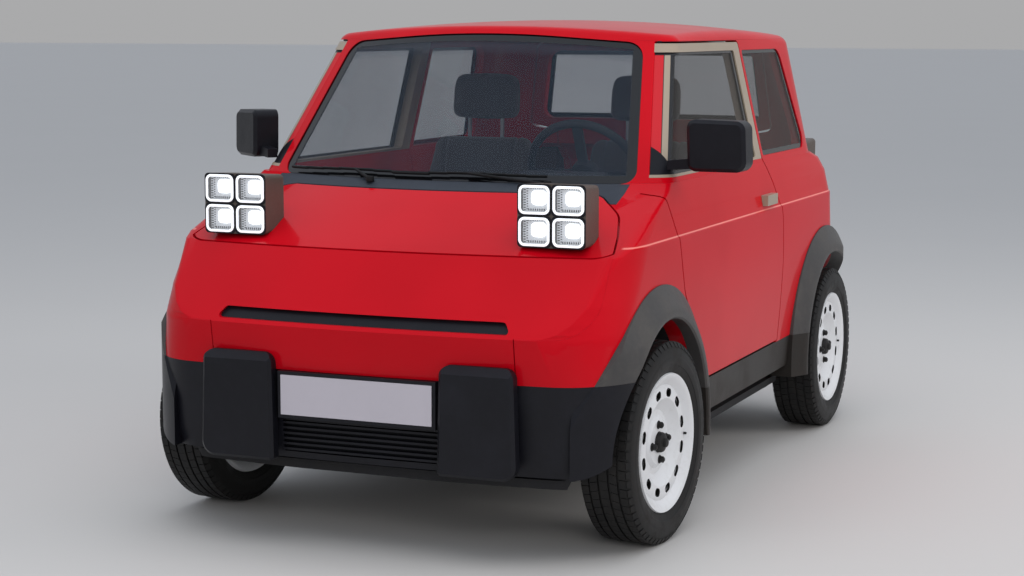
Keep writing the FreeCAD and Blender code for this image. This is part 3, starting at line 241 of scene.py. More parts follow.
@dataclass(frozen=True)
class Paint:
    """Sprayed colour under clear coat, with faint orange peel, road dust low down and a painted highlight
    line along the side crease.
    """

    name: str
    colour: Colour
    shade: Colour
    roughness: float = 0.30
    coat: float = 0.36
    gloss: float = 0.03
    dust: Colour = (0.26, 0.17, 0.13)
    dusty_z: tuple[float, float] = (0.18, 0.60)
    # Height of the painted highlight line along the side crease; 0 paints none.
    crease_highlight_z: float = 0.0
    crease_highlight_half: tuple[float, float] = (0.0012, 0.0026)
    crease_highlight_x: tuple[float, float] = (0.655, 0.665)
    crease_highlight_share: float = 0.75
    # Colour of the painted highlight along the crease.
    lit: Colour = (0.86, 0.26, 0.22)
    patch_scale: float = 2.2
    patch_range: tuple[float, float] = (0.35, 0.7)
    patch_share: float = 0.45
    speck_scale: float = 55.0
    speck_range: tuple[float, float] = (0.52, 0.78)
    thin_film: float = 0.04
    speck_film: float = 0.14
    peel_scale: float = 240.0
    peel_strength: float = 0.03
    peel_depth: float = 0.0005

    def make(self) -> bpy.types.Material:
        """Build the paint.

        Returns:
            The finished material.
        """
        tree = Tree(self.name)
        across, _, height = tree.axes()
        patches = tree.noise(self.patch_scale, 2.0).ramp(*self.patch_range)
        low = 1.0 - height.ramp(*self.dusty_z)
        speck = tree.noise(self.speck_scale, 4.0).ramp(*self.speck_range)
        film = low * (self.thin_film + speck * self.speck_film)
        colour = tree.mixed(patches * self.patch_share, self.colour, self.shade)
        colour = tree.mixed(film, colour, self.dust)
        # Painted highlight: a thin lighter line along the side crease, on the outer sides only.
        if self.crease_highlight_z > 0:
            line = 1.0 - abs(height - self.crease_highlight_z).ramp(*self.crease_highlight_half)
            outside = abs(across).ramp(*self.crease_highlight_x)
            colour = tree.mixed(line * outside * self.crease_highlight_share, colour, self.lit)
        peel = tree.relief(tree.noise(self.peel_scale, 2.0), self.peel_strength, self.peel_depth)
        return tree.shade(Base_Color=colour, Roughness=self.roughness + film * 0.5 + patches * 0.04,
                          Coat_Weight=self.coat, Coat_Roughness=0.02, Coat_IOR=1.38,
                          Specular_IOR_Level=self.gloss, Normal=peel)


@dataclass(frozen=True)
class Moulded:
    """Grained moulded plastic, paler where it is scuffed or lies in dust."""

    name: str
    colour: Colour
    worn: Colour
    roughness: float = 0.5
    grain: float = 900.0
    depth: float = 0.0004
    scuff: float = 0.25
    gloss: float = 0.24
    relief: float = 0.35
    cloud_scale: float = 7.0
    cloud_range: tuple[float, float] = (0.42, 0.75)
    fine_scale: float = 60.0
    fine_range: tuple[float, float] = (0.4, 0.8)
    cloud_share: float = 0.7
    duller: float = 0.12

    def make(self) -> bpy.types.Material:
        """Build the plastic.

        Returns:
            The finished material.
        """
        tree = Tree(self.name)
        cloud = tree.noise(self.cloud_scale, 5.0, 0.6).ramp(*self.cloud_range)
        fine = tree.noise(self.fine_scale, 3.0).ramp(*self.fine_range)
        wear = (cloud * self.cloud_share + fine * (1.0 - self.cloud_share)) * self.scuff
        colour = tree.mixed(wear, self.colour, self.worn)
        bump = tree.relief(tree.grain(self.grain), self.relief, self.depth)
        return tree.shade(Base_Color=colour, Roughness=self.roughness + cloud * self.duller,
                          Specular_IOR_Level=self.gloss, Normal=bump)


@dataclass(frozen=True)
class Metal:
    """Bare or cast metal with a brushed or cast surface."""

    name: str
    colour: Colour
    roughness: float = 0.35
    metallic: float = 1.0
    rough_scale: float = 160.0
    depth: float = 0.0004
    relief: float = 0.3
    cloud_scale: float = 14.0
    cloud_range: tuple[float, float] = (0.3, 0.8)
    cloud_share: float = 0.6
    darker: float = 0.6
    duller: float = 0.2

    def make(self) -> bpy.types.Material:
        """Build the metal.

        Returns:
            The finished material.
        """
        tree = Tree(self.name)
        cloud = tree.noise(self.cloud_scale, 4.0)
        dark = tuple(part * self.darker for part in self.colour)
        colour = tree.mixed(cloud.ramp(*self.cloud_range) * self.cloud_share, self.colour, dark)
        bump = tree.relief(tree.noise(self.rough_scale, 3.0), self.relief, self.depth)
        return tree.shade(Base_Color=colour, Metallic=self.metallic,
                          Roughness=self.roughness + cloud * self.duller, Normal=bump)


@dataclass(frozen=True)
class Band:
    """One opaque band of a pane: where it lies and its colour."""

    mask: Callable[[Tree], Sock]
    colour: Colour
    roughness: float = 0.10


@dataclass(frozen=True)
class Pane:
    """Tinted sheet glass with opaque bands printed, painted or clipped along its edges."""

    name: str
    tint: Colour
    alpha: float
    bands: tuple[Band, ...] = ()
    roughness: float = 0.015
    film_scale: float = 3.0
    film_range: tuple[float, float] = (0.3, 0.8)
    film_share: float = 0.25
    film_darker: float = 0.8
    film_alpha: float = 0.04
    film_duller: float = 0.01

    def make(self) -> bpy.types.Material:
        """Build the glass.

        Returns:
            The finished material.
        """
        tree = Tree(self.name)
        film = tree.noise(self.film_scale, 3.0).ramp(*self.film_range)
        darker = tuple(part * self.film_darker for part in self.tint)
        colour = tree.mixed(film * self.film_share, self.tint, darker)
        alpha = self.alpha + film * self.film_alpha
        rough = self.roughness + film * self.film_duller
        for band in self.bands:
            mask = band.mask(tree)
            colour = tree.mixed(mask, colour, band.colour)
            alpha = alpha.most(mask)
            rough = rough + mask * band.roughness
        return tree.shade(Base_Color=colour, Roughness=rough, Alpha=alpha, Specular_IOR_Level=0.6, IOR=1.5)


@dataclass(frozen=True)
class Lens:
    """Lamp lens with small prisms: one colour above, another below a level."""

    name: str
    upper: Colour
    lower: Colour
    level: float
    pitch: float = 0.009
    between: Colour = (0.04, 0.004, 0.004)
    between_range: tuple[float, float] = (-0.6, 0.9)
    between_share: float = 0.35
    joint_half: float = 0.001
    relief: float = 0.25
    depth: float = 0.0008

    def make(self) -> bpy.types.Material:
        """Build the lens.

        Returns:
            The finished material.
        """
        tree = Tree(self.name)
        across, _, height = tree.axes()
        turns = 2.0 * math.pi / self.pitch
        prisms = (across * turns).wave() * (height * turns).wave()
        above = (height - self.level).ramp(-self.joint_half, self.joint_half)
        colour = tree.mixed(above, self.lower, self.upper)
        colour = tree.mixed(prisms.ramp(*self.between_range) * self.between_share, colour, self.between)
        return tree.shade(Base_Color=colour, Roughness=0.12, Coat_Weight=1.0, Coat_Roughness=0.02,
                          Normal=tree.relief(prisms, self.relief, self.depth))


@dataclass(frozen=True)
class Glow:
    """Lit lamp part; on the reflectors, painted reflection, as they are no lamps."""

    name: str
    colour: Colour
    strength: float
    spread_scale: float = 90.0
    spread_share: float = 0.15
    dimmer: float = 0.88

    def make(self) -> bpy.types.Material:
        """Build the glowing plastic.

        Returns:
            The finished material.
        """
        tree = Tree(self.name)
        spread = tree.noise(self.spread_scale, 2.0)
        dim = tuple(part * self.dimmer for part in self.colour)
        colour = tree.mixed(spread * self.spread_share, self.colour, dim)
        return tree.shade(Base_Color=colour, Roughness=0.25, Emission_Color=colour,
                          Emission_Strength=self.strength)


@dataclass(frozen=True)
class Rubber:
    """Tyre or seal rubber, greyed a little with road dust."""

    name: str
    colour: Colour = (0.009, 0.009, 0.0095)
    dusty: Colour = (0.060, 0.053, 0.046)
    roughness: float = 0.50
    cloud_scale: float = 22.0
    cloud_range: tuple[float, float] = (0.4, 0.8)
    cloud_share: float = 0.22
    fine_scale: float = 260.0
    fine_share: float = 0.10
    duller: float = 0.25
    relief: float = 0.3
    depth: float = 0.0005

    def make(self) -> bpy.types.Material:
        """Build the rubber.

        Returns:
            The finished material.
        """
        tree = Tree(self.name)
        cloud = tree.noise(self.cloud_scale, 5.0, 0.65).ramp(*self.cloud_range)
        fine = tree.noise(self.fine_scale, 3.0)
        dust = cloud * self.cloud_share + fine * self.fine_share
        return tree.shade(Base_Color=tree.mixed(dust, self.colour, self.dusty),
                          Roughness=self.roughness + cloud * self.duller, Specular_IOR_Level=0.24,
                          Normal=tree.relief(fine, self.relief, self.depth))


@dataclass(frozen=True)
class Cloth:
    """Woven seat cover."""

    name: str
    colour: Colour
    thread: Colour
    pitch: float = 0.0035
    thread_range: tuple[float, float] = (0.2, 0.9)
    thread_share: float = 0.7
    cloud_scale: float = 9.0
    cloud_share: float = 0.2
    relief: float = 0.5
    depth: float = 0.0006

    def make(self) -> bpy.types.Material:
        """Build the weave.

        Returns:
            The finished material.
        """
        tree = Tree(self.name)
        across, along, up = tree.axes()
        turns = 2.0 * math.pi / self.pitch
        warp = abs((across * turns).wave())
        weft = abs(((along + up) * turns).wave())
        weave = warp * weft
        cloud = tree.noise(self.cloud_scale, 4.0)
        lit = weave.ramp(*self.thread_range) * self.thread_share + cloud * self.cloud_share
        return tree.shade(Base_Color=tree.mixed(lit, self.colour, self.thread), Roughness=0.85,
                          Sheen_Weight=0.25, Normal=tree.relief(weave, self.relief, self.depth))


@dataclass(frozen=True)
class WindscreenPrint:
    """Black print round the windscreen, its top line bowed with the roof, and the shade strip under it."""

    foot_z: float = 0.988
    foot_width: float = 0.020
    half_foot: float = 0.571
    lean: float = 0.089 / 0.396
    side_width: float = 0.032
    top_z: float = 1.385
    top_bow: float = 0.110
    fade: float = 0.004
    strip: float = 0.075
    strip_share: float = 0.35

    def over_top(self, tree: Tree) -> Sock:
        """Height over the bowed top line."""
        across, _, height = tree.axes()
        return height + across * across * self.top_bow - self.top_z

    def edges(self, tree: Tree) -> Sock:
        """The opaque print.

        Args:
            tree: the glass's node tree.

        Returns:
            A mask that is 1 on the print.
        """
        across, _, height = tree.axes()
        rise = height - self.foot_z
        side = (abs(across) - (self.half_foot - rise * self.lean) + self.side_width).ramp(0.0, self.fade)
        top = self.over_top(tree).ramp(0.0, self.fade)
        foot = 1.0 - rise.ramp(self.foot_width, self.foot_width + self.fade)
        return side.most(top).most(foot)

    def shade(self, tree: Tree) -> Sock:
        """The faint darker strip."""
        return self.over_top(tree).ramp(-self.strip, 0.0) * self.strip_share


@dataclass(frozen=True)
class BentEdge:
    """Where the door glass has bent in from its flat face by more than a distance."""

    inward: float
    fade: float
    flat_x: float = 0.652
    flat_z: float = 1.012
    lean: float = 0.237

    def mask(self, tree: Tree) -> Sock:
        """Mark what has bent in.

        Args:
            tree: the glass's node tree.

        Returns:
            A mask that is 1 past that distance.
        """
        across, _, height = tree.axes()
        flat = self.flat_x - (height - self.flat_z) * self.lean
        return (flat - abs(across)).ramp(self.inward, self.inward + self.fade)


@dataclass(frozen=True)
class LevelRim:
    """Black rim of a pane along its foot and top."""

    foot_z: float
    top_z: float
    fade: float = 0.003

    def levels(self, height: Sock) -> Sock:
        """The two level strips."""
        foot = 1.0 - (height - self.foot_z).ramp(0.0, self.fade)
        return (height - self.top_z).ramp(0.0, self.fade).most(foot)


@dataclass(frozen=True)
class SideRim(LevelRim):
    """Rim of a side pane, whose rear edge may lean forwards with height."""

    rear_y: float = 0.0
    lean: float = 0.0
    lean_z: float = 0.0
    front_y: Optional[float] = None

    def mask(self, tree: Tree) -> Sock:
        """The rim, with a front strip where the pane has one.

        Args:
            tree: the glass's node tree.

        Returns:
            A mask that is 1 on the rim.
        """
        _, along, height = tree.axes()
        rear = (along + (height - self.lean_z) * self.lean - self.rear_y).ramp(0.0, self.fade)
        rim = rear.most(self.levels(height))
        if self.front_y is None:
            return rim
        return rim.most(1.0 - (along - self.front_y).ramp(0.0, self.fade))


@dataclass(frozen=True)
class TailRim(LevelRim):
    """Rim of the tailgate's pane, whose sides lean in with height."""

    half_foot: float = 0.430
    lean: float = 0.12
    lean_z: float = 1.085
    side_width: float = 0.018

    def mask(self, tree: Tree) -> Sock:
        """The rim.

        Args:
            tree: the glass's node tree.

        Returns:
            A mask that is 1 on the rim.
        """
        across, _, height = tree.axes()
        over = abs(across) - self.half_foot + (height - self.lean_z) * self.lean
        return over.ramp(-self.side_width, self.fade - self.side_width).most(self.levels(height))


RED: Colour = (0.53, 0.0015, 0.009)
CHAMPAGNE: Colour = (0.33, 0.27, 0.205)
BLACK: Colour = (0.004, 0.004, 0.005)
SCREEN_PRINT = WindscreenPrint()
FRONT_SEAL = BentEdge(0.0070, 0.0010)
FRONT_CHANNEL = BentEdge(0.0125, 0.0010)
FRONT_GAP = BentEdge(0.0265, 0.0005)
FRONT_POST = BentEdge(0.0285, 0.0005)
DOOR_RIM = SideRim(1.018, 1.346, rear_y=0.216)
QUARTER_RIM = SideRim(1.026, 1.342, rear_y=0.852, lean=0.255, lean_z=1.012, front_y=0.350)
TAIL_RIM = TailRim(1.102, 1.322)
FINISHES = {
    # Body red carries a painted highlight line along the side crease.
    "body_red": Paint("body red", RED, (0.42, 0.001, 0.006), crease_highlight_z=0.8425),
    "black_plastic": Moulded("bumper black", (0.007, 0.007, 0.010), (0.024, 0.025, 0.034), 0.36, 1100.0,
                             0.0002),
    "grey_plastic": Moulded("cowl grey", (0.030, 0.036, 0.048), (0.08, 0.09, 0.11), 0.5),
    "sill_plastic": Moulded("sill brown black", (0.020, 0.017, 0.015), (0.060, 0.050, 0.043), 0.42),
    "flare_plastic": Moulded("flare grey", (0.052, 0.050, 0.050), (0.115, 0.104, 0.092), 0.40, 1000.0, 0.0002,
                             0.45),
    "tinted_glass": Pane("windscreen glass", (0.040, 0.062, 0.095), 0.14, (
        Band(SCREEN_PRINT.shade, (0.010, 0.014, 0.022), 0.0), Band(SCREEN_PRINT.edges, BLACK))),
    "plate": Moulded("plate lilac grey", (0.50, 0.47, 0.52), (0.42, 0.40, 0.44), 0.35, 300.0, 0.0001),
    "underbody": Moulded("underseal", (0.018, 0.018, 0.020), (0.05, 0.045, 0.04), 0.7, 260.0, 0.0012),
    "dark_steel": Metal("chassis steel", (0.09, 0.085, 0.08), 0.5, 0.7),
    "motor_casing": Metal("motor casing", (0.42, 0.42, 0.43), 0.4, 0.9),
    "lamp_housing": Moulded("lamp housing", (0.085, 0.070, 0.060), (0.17, 0.15, 0.13), 0.40),
    "lamp_lens": Glow("lamp lens", (0.9, 0.94, 1.0), 0.4),
    "rear_lens": Lens("rear lens red", (0.40, 0.004, 0.006), (0.62, 0.60, 0.60), 0.897),
    "seat_fabric": Cloth("seat weave", (0.045, 0.042, 0.042), (0.10, 0.095, 0.09)),
    "interior_plastic": Moulded("cabin plastic", (0.022, 0.023, 0.027), (0.06, 0.06, 0.065), 0.55, 700.0),
    "frame_trim": Paint("window frame champagne", CHAMPAGNE, (0.28, 0.225, 0.17), 0.35, 0.3, 0.3),
    "tyre": Rubber("tyre rubber"),
    "rim_white": Paint("wheel white", (0.68, 0.69, 0.71), (0.58, 0.585, 0.60), 0.35, 0.4, 0.3,
                       (0.30, 0.26, 0.22)),
}
EXTRA_FINISHES = {
    "door_glass": Pane("door glass", (0.030, 0.027, 0.024), 0.26, (
        Band(FRONT_SEAL.mask, BLACK), Band(FRONT_CHANNEL.mask, CHAMPAGNE, 0.25), Band(FRONT_GAP.mask, BLACK),
        Band(FRONT_POST.mask, RED, 0.15), Band(DOOR_RIM.mask, BLACK))),
    "quarter_glass": Pane("quarter glass", (0.026, 0.024, 0.022), 0.30, (Band(QUARTER_RIM.mask, BLACK),)),
    "tailgate_glass": Pane("tailgate glass", (0.026, 0.024, 0.022), 0.22, (Band(TAIL_RIM.mask, BLACK),)),
    "lamp_ring": Glow("lamp ring light", (0.90, 0.93, 0.97), 0.55),
    "lamp_block": Glow("lamp block light", (0.95, 0.98, 1.0), 1.5),
    "lamp_cover": Pane("lamp cover", (0.75, 0.80, 0.86), 0.06),
    # The reflectors glow as painted reflection; they are no lamps.
    "reflector": Glow("lamp reflector", (0.62, 0.64, 0.67), 0.28),
    "reflector_fin": Metal("lamp reflector fin", (0.10, 0.10, 0.11), 0.30, 0.6, 420.0),
    "mirror_silver": Metal("mirror silver", (0.78, 0.80, 0.82), 0.02, 1.0, 20.0, 0.00001),
    "bolt_black": Metal("wheel bolt", (0.030, 0.028, 0.027), 0.42, 0.6),
    # Dark brake drum iron; the same finish paints shade on the vent linings and on the ring behind the vents.
    "drum_iron_and_vent_shade": Metal("brake drum iron", (0.020, 0.018, 0.017), 0.65, 0.5, 90.0, 0.0006),
    "seal_rubber": Rubber("seal rubber", (0.008, 0.008, 0.009), (0.025, 0.025, 0.025)),
    "screen_glass": Moulded("instrument screen", (0.006, 0.007, 0.010), (0.02, 0.02, 0.03), 0.12, 200.0,
                            0.00002),
    "post_steel": Metal("headrest post", (0.42, 0.42, 0.43), 0.22),
}


class Finishes:
    """Every material of the car, built once."""

    def __init__(self) -> None:
        """Start with none built."""
        self.built: dict[str, bpy.types.Material] = {}

    def get(self, name: str) -> bpy.types.Material:
        """The material of that name.

        Args:
            name: the finish's name.

        Returns:
            Its material, built at the first call.
        """
        if name not in self.built:
            source = FINISHES.get(name) or EXTRA_FINISHES[name]
            self.built[name] = source.make()
        return self.built[name]


FINISH = Finishes()


class Solid:
    """A mesh under construction with bmesh operators."""

    def __init__(self) -> None:
        """Start empty."""
        self.bm = bmesh.new()

    def block(self, centre: Sequence[float], size: Sequence[float], round_by: float = 0.0, segments: int = 2,
              turn: Optional[Matrix] = None) -> None:
        """Add a box with rounded edges.

        Args:
            centre: its middle in metres.
            size: its full sizes.
            round_by: edge radius.
            segments: segments of each rounded edge.
            turn: rotation about its middle.
        """
        place = Matrix.Translation(Vector(centre))
        if turn is not None:
            place = place @ turn.to_4x4()
        place = place @ Matrix.Diagonal((*size, 1.0))
        made = bmesh.ops.create_cube(self.bm, size=1.0, matrix=place)
        if round_by > 0:
            edges = list(dict.fromkeys(edge for vert in made["verts"] for edge in vert.link_edges))
            bmesh.ops.bevel(self.bm, geom=edges, offset=round_by, segments=segments, affect="EDGES",
                            profile=0.5, material=-1)

    def drum(self, start: Sequence[float], end: Sequence[float], radius: float,
             far_radius: Optional[float] = None, segments: int = 24, bevel: float = 0.0) -> None:
        """Add a round bar or cone between two points.

        Args:
            start: middle of its first end.
            end: middle of its other end.
            radius: radius at the first end.
            far_radius: radius at the other end, or None where it is the same.
            segments: sides round it.
            bevel: how far its rims are cut back.
        """
        start = Vector(start)
        end = Vector(end)
        way = end - start
        turn = way.to_track_quat("Z", "Y").to_matrix().to_4x4()
        place = Matrix.Translation((start + end) / 2) @ turn
        far = radius if far_radius is None else far_radius
        made = bmesh.ops.create_cone(self.bm, cap_ends=True, segments=segments, radius1=radius, radius2=far,
                                     depth=way.length, matrix=place)
        if bevel > 0:
            rims = dict.fromkeys(
                edge for vert in made["verts"] for edge in vert.link_edges
                if len(edge.link_faces) == 2 and any(len(face.verts) > 4 for face in edge.link_faces))
            bmesh.ops.bevel(self.bm, geom=list(rims), offset=bevel, segments=2, affect="EDGES",
                            profile=0.5, material=-1)

    def turned(self, profile: Sequence[tuple[float, float]], centre: Sequence[float], axis: Vector,
               steps: int = 72) -> None:
        """Add a ring by spinning a closed profile.

        Args:
            profile: (along the axis, radius) corners in metres.
            centre: a point on the axis that the profile counts from.
            axis: direction of the axis.
            steps: steps of the full turn.
        """
        centre = Vector(centre)
        axis = axis.normalized()
        radial = axis.orthogonal().normalized()
        verts = [self.bm.verts.new(centre + axis * along + radial * radius) for along, radius in profile]
        edges = [self.bm.edges.new((verts[index - 1], verts[index])) for index in range(len(verts))]
        bmesh.ops.spin(self.bm, geom=verts + edges, cent=centre, axis=axis, angle=2.0 * math.pi, steps=steps,
                       use_merge=True)

    def tile(self, x: float, z: float, near: float, far: float, size: tuple[float, float], corner: float,
             rim: float = 0.0, soft: float = 0.0002) -> list[bmesh.types.BMVert]:
        """Add a rounded tile that faces forwards, from outlines of equal steps.

        Args:
            x: its middle across.
            z: its middle in height.
            near: y of its front.
            far: y of its back.
            size: width and height.
            corner: corner radius.
            rim: width of its rim where it is open, else 0.
            soft: how far its front edge is cut back.

        Returns:
            Its corners.
        """
        steps = 6
        least_corner = 0.002

        def loop(width: float, height: float, radius: float, y: float) -> list[bmesh.types.BMVert]:
            """One rounded outline.

            Args:
                width: its width.
                height: its height.
                radius: its corner radius.
                y: where it lies.

            Returns:
                Its corners in turn.
            """
            points = []
            for quarter, (turn_x, turn_z) in enumerate(((1, 1), (-1, 1), (-1, -1), (1, -1))):
                for step in range(steps + 1):
                    angle = math.radians(90.0 * quarter + 90.0 * step / steps)
                    points.append(self.bm.verts.new((
                        x + turn_x * (width / 2 - radius) + radius * math.cos(angle), y,
                        z + turn_z * (height / 2 - radius) + radius * math.sin(angle))))
            return points

        def wall(first: list[bmesh.types.BMVert], second: list[bmesh.types.BMVert]) -> None:
            """Faces between two outlines.

            Args:
                first: corners of the first outline.
                second: corners of the other.
            """
            for index in range(len(first)):
                follow = (index + 1) % len(first)
                self.bm.faces.new((first[index], first[follow], second[follow], second[index]))

        width, height = size
        front = loop(width - 2 * soft, height - 2 * soft, corner - soft, near)
        side = loop(width, height, corner, near + soft)
        back = loop(width, height, corner, far)
        wall(front, side)
        wall(side, back)
        if rim <= 0:
            self.bm.faces.new(front)
            self.bm.faces.new(back[::-1])
            return front + side + back
        inner_corner = max(corner - rim, least_corner)
        inner_front = loop(width - 2 * rim, height - 2 * rim, inner_corner, near)
        inner_back = loop(width - 2 * rim, height - 2 * rim, inner_corner, far)
        wall(front, inner_front)
        wall(back, inner_back)
        wall(inner_front, inner_back)
        return front + side + back + inner_front + inner_back

    def piece(self, name: str, finish: str, body: Body, slot: str, replaces: Iterable[str] = (),
              smooth: float = 32.0) -> bpy.types.Object:
        """Close the mesh as an object of the scene.

        Args:
            name: the piece's name.
            finish: its finish.
            body: what it rides on.
            slot: material slot of the record; not used.
            replaces: CAD nodes it stands for.
            smooth: faces that meet at less than this angle, in degrees, are shaded smooth.

        Returns:
            The new object.
        """
        bmesh.ops.remove_doubles(self.bm, verts=self.bm.verts, dist=1e-6)
        bmesh.ops.recalc_face_normals(self.bm, faces=self.bm.faces)
        limit = math.radians(smooth)
        for face in self.bm.faces:
            face.smooth = True
        for edge in self.bm.edges:
            edge.smooth = len(edge.link_faces) != 2 or edge.calc_face_angle(0.0) < limit
        mesh = bpy.data.meshes.new(name)
        self.bm.to_mesh(mesh)
        self.bm.free()
        mesh.materials.append(FINISH.get(finish))
        made = bpy.data.objects.new(name, mesh)
        bpy.context.scene.collection.objects.link(made)
        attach(made, body.value)
        if replaces:
            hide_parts(*replaces)
        LOG.info("%s: %d faces", name, len(mesh.polygons))
        return made


@dataclass
class CadDress:
    """Finishes and soft shading for the CAD nodes that stay."""

    sharp_angle: float = 28.0
    weld: float = 0.00005
    own_finish: dict[str, str] = field(default_factory=lambda: {
        "door_glass_left": "door_glass", "door_glass_right": "door_glass", "quarter_glass": "quarter_glass",
        "tailgate_glass": "tailgate_glass",
    })

    def dress(self) -> None:
        """Give every node its material, weld its triangles and split them at sharp edges."""
        slots = {part["node"]: part["material_slot"] for part in frame["record"]["subparts"]}
        for name, node in frame["nodes"].items():
            finish = self.own_finish.get(name, slots[name])
            node.data.materials.clear()
            node.data.materials.append(FINISH.get(finish))
            for polygon in node.data.polygons:
                polygon.material_index = 0
                polygon.use_smooth = True
            merge = node.modifiers.new("join triangles", "WELD")
            merge.merge_threshold = self.weld
            split = node.modifiers.new("sharp edges", "EDGE_SPLIT")
            split.split_angle = math.radians(self.sharp_angle)
            LOG.info("%s dressed as %s", name, finish)


@dataclass(frozen=True)
class Layer:
    """One rounded tile of a lamp: how far its front and back stand before a face, its size and its rim."""

    front: float
    back: float
    size: tuple[float, float]
    corner: float
    rim: float = 0.0
    soft: float = 0.0002
    shift: tuple[float, float] = (0.0, 0.0)

    def add(self, solid: Solid, x: float, z: float, face_y: float) -> None:
        """Add it to a mesh at one lamp's middle."""
        solid.tile(x + self.shift[0], z + self.shift[1], face_y - self.front, face_y - self.back,
                   self.size, self.corner, self.rim, self.soft)


@dataclass(frozen=True)
class FinRow:
    """One row of reflector fins, counted from the lower inner corner of a lamp's window."""

    start: tuple[float, float]
    step: tuple[float, float]
    size: tuple[float, float]


@dataclass
class LampCluster:
    """Four lamps of one front cluster: bezel, light ring, reflector with fins, lit block and cover; the
    reflectors' glow is painted reflection.
    """

    side: Side
    columns: tuple[float, float] = (0.43425, 0.53275)
    rows: tuple[float, float] = (0.972, 0.886)
    front_y: float = -1.130
    back_y: float = -1.1123
    window: tuple[float, float] = (0.0764, 0.0646)
    bezel: Layer = Layer(0.0022, 0.0002, (0.0984, 0.0859), 0.0120, 0.0108)
    ring: Layer = Layer(0.0052, 0.0016, (0.0900, 0.0782), 0.0175, 0.0068, 0.0012)
    cover: Layer = Layer(0.0034, 0.0022, (0.0774, 0.0656), 0.0107)
    reflector: Layer = Layer(0.0035, 0.0002, (0.0768, 0.0768), 0.0105)
    block: Layer = Layer(0.0095, 0.0030, (0.0420, 0.0390), 0.0115, shift=(0.0090, 0.0045))
    fin_rows: tuple[FinRow, ...] = (
        FinRow((0.0050, 0.0030), (0.0, 0.0068), (0.0064, 0.0026)),
        FinRow((0.0128, 0.0064), (0.0, 0.0068), (0.0040, 0.0024)),
        FinRow((0.0170, 0.0046), (0.0064, 0.0), (0.0024, 0.0062)),
        FinRow((0.0170, 0.0620), (0.0064, 0.0), (0.0022, 0.0030)),
    )
    fins_per_row: int = 9
    fin_depth: float = 0.0028
    fin_front: float = 0.0047
    fin_round: float = 0.0006

    def add_fins(self, fins: Solid, x: float, z: float) -> None:
        """Add the fins of one lamp.

        Args:
            fins: where they go.
            x: the lamp's middle across.
            z: the lamp's middle in height.
        """
        edge = x - self.window[0] / 2
        foot = z - self.window[1] / 2
        for row in self.fin_rows:
            for index in range(self.fins_per_row):
                place = (edge + row.start[0] + index * row.step[0], self.back_y - self.fin_front,
                         foot + row.start[1] + index * row.step[1])
                fins.block(place, (row.size[0], self.fin_depth, row.size[1]), self.fin_round, 1)

    def build(self) -> None:
        """Build the parts of the four lamps."""
        bezels, rings, painted_glow_reflectors, blocks, covers, fins = (Solid() for _ in range(6))
        for z in self.rows:
            for column in self.columns:
                x = self.side.value * column
                self.bezel.add(bezels, x, z, self.front_y)
                self.ring.add(rings, x, z, self.front_y)
                self.cover.add(covers, x, z, self.front_y)
                self.reflector.add(painted_glow_reflectors, x, z, self.back_y)
                self.block.add(blocks, x, z, self.back_y)
                self.add_fins(fins, x, z)
        tag = self.side.name.lower()
        bezels.piece("lamp_bezels_" + tag, "black_plastic", Body.BONNET, "lamp_housing")
        rings.piece("light_rings_" + tag, "lamp_ring", Body.BONNET, "lamp_lens")
        blocks.piece("light_blocks_" + tag, "lamp_block", Body.BONNET, "lamp_lens")
        # Reflectors get a glowing finish: painted reflection.
        painted_glow_reflectors.piece("reflectors_" + tag, "reflector", Body.BONNET, "lamp_housing")
        fins.piece("reflector_fins_" + tag, "reflector_fin", Body.BONNET, "lamp_housing")
        covers.piece("lamp_covers_" + tag, "lamp_cover", Body.BONNET, "lamp_lens", ("lamp_lenses",))


@dataclass(frozen=True)
class TreadRow:
    """One row of tread blocks round a tyre.

    Attributes:
        across: the row's middle, outwards from the tyre's.
        width: width of a block.
        share: share of the pitch that a block takes.
        skew: how far a block slants for its width.
        drop: how much lower its top is than the crown.
        shift: where the row starts, in pitches.
    """

    across: float
    width: float
    share: float
    skew: float
    drop: float
    shift: float


@dataclass(frozen=True)
class RoundStep:
    """One round or six-sided step of a bolt or valve, along the wheel's axis."""

    start: float
    end: float
    radius: float
    far_radius: float
    sides: int
    bevel: float


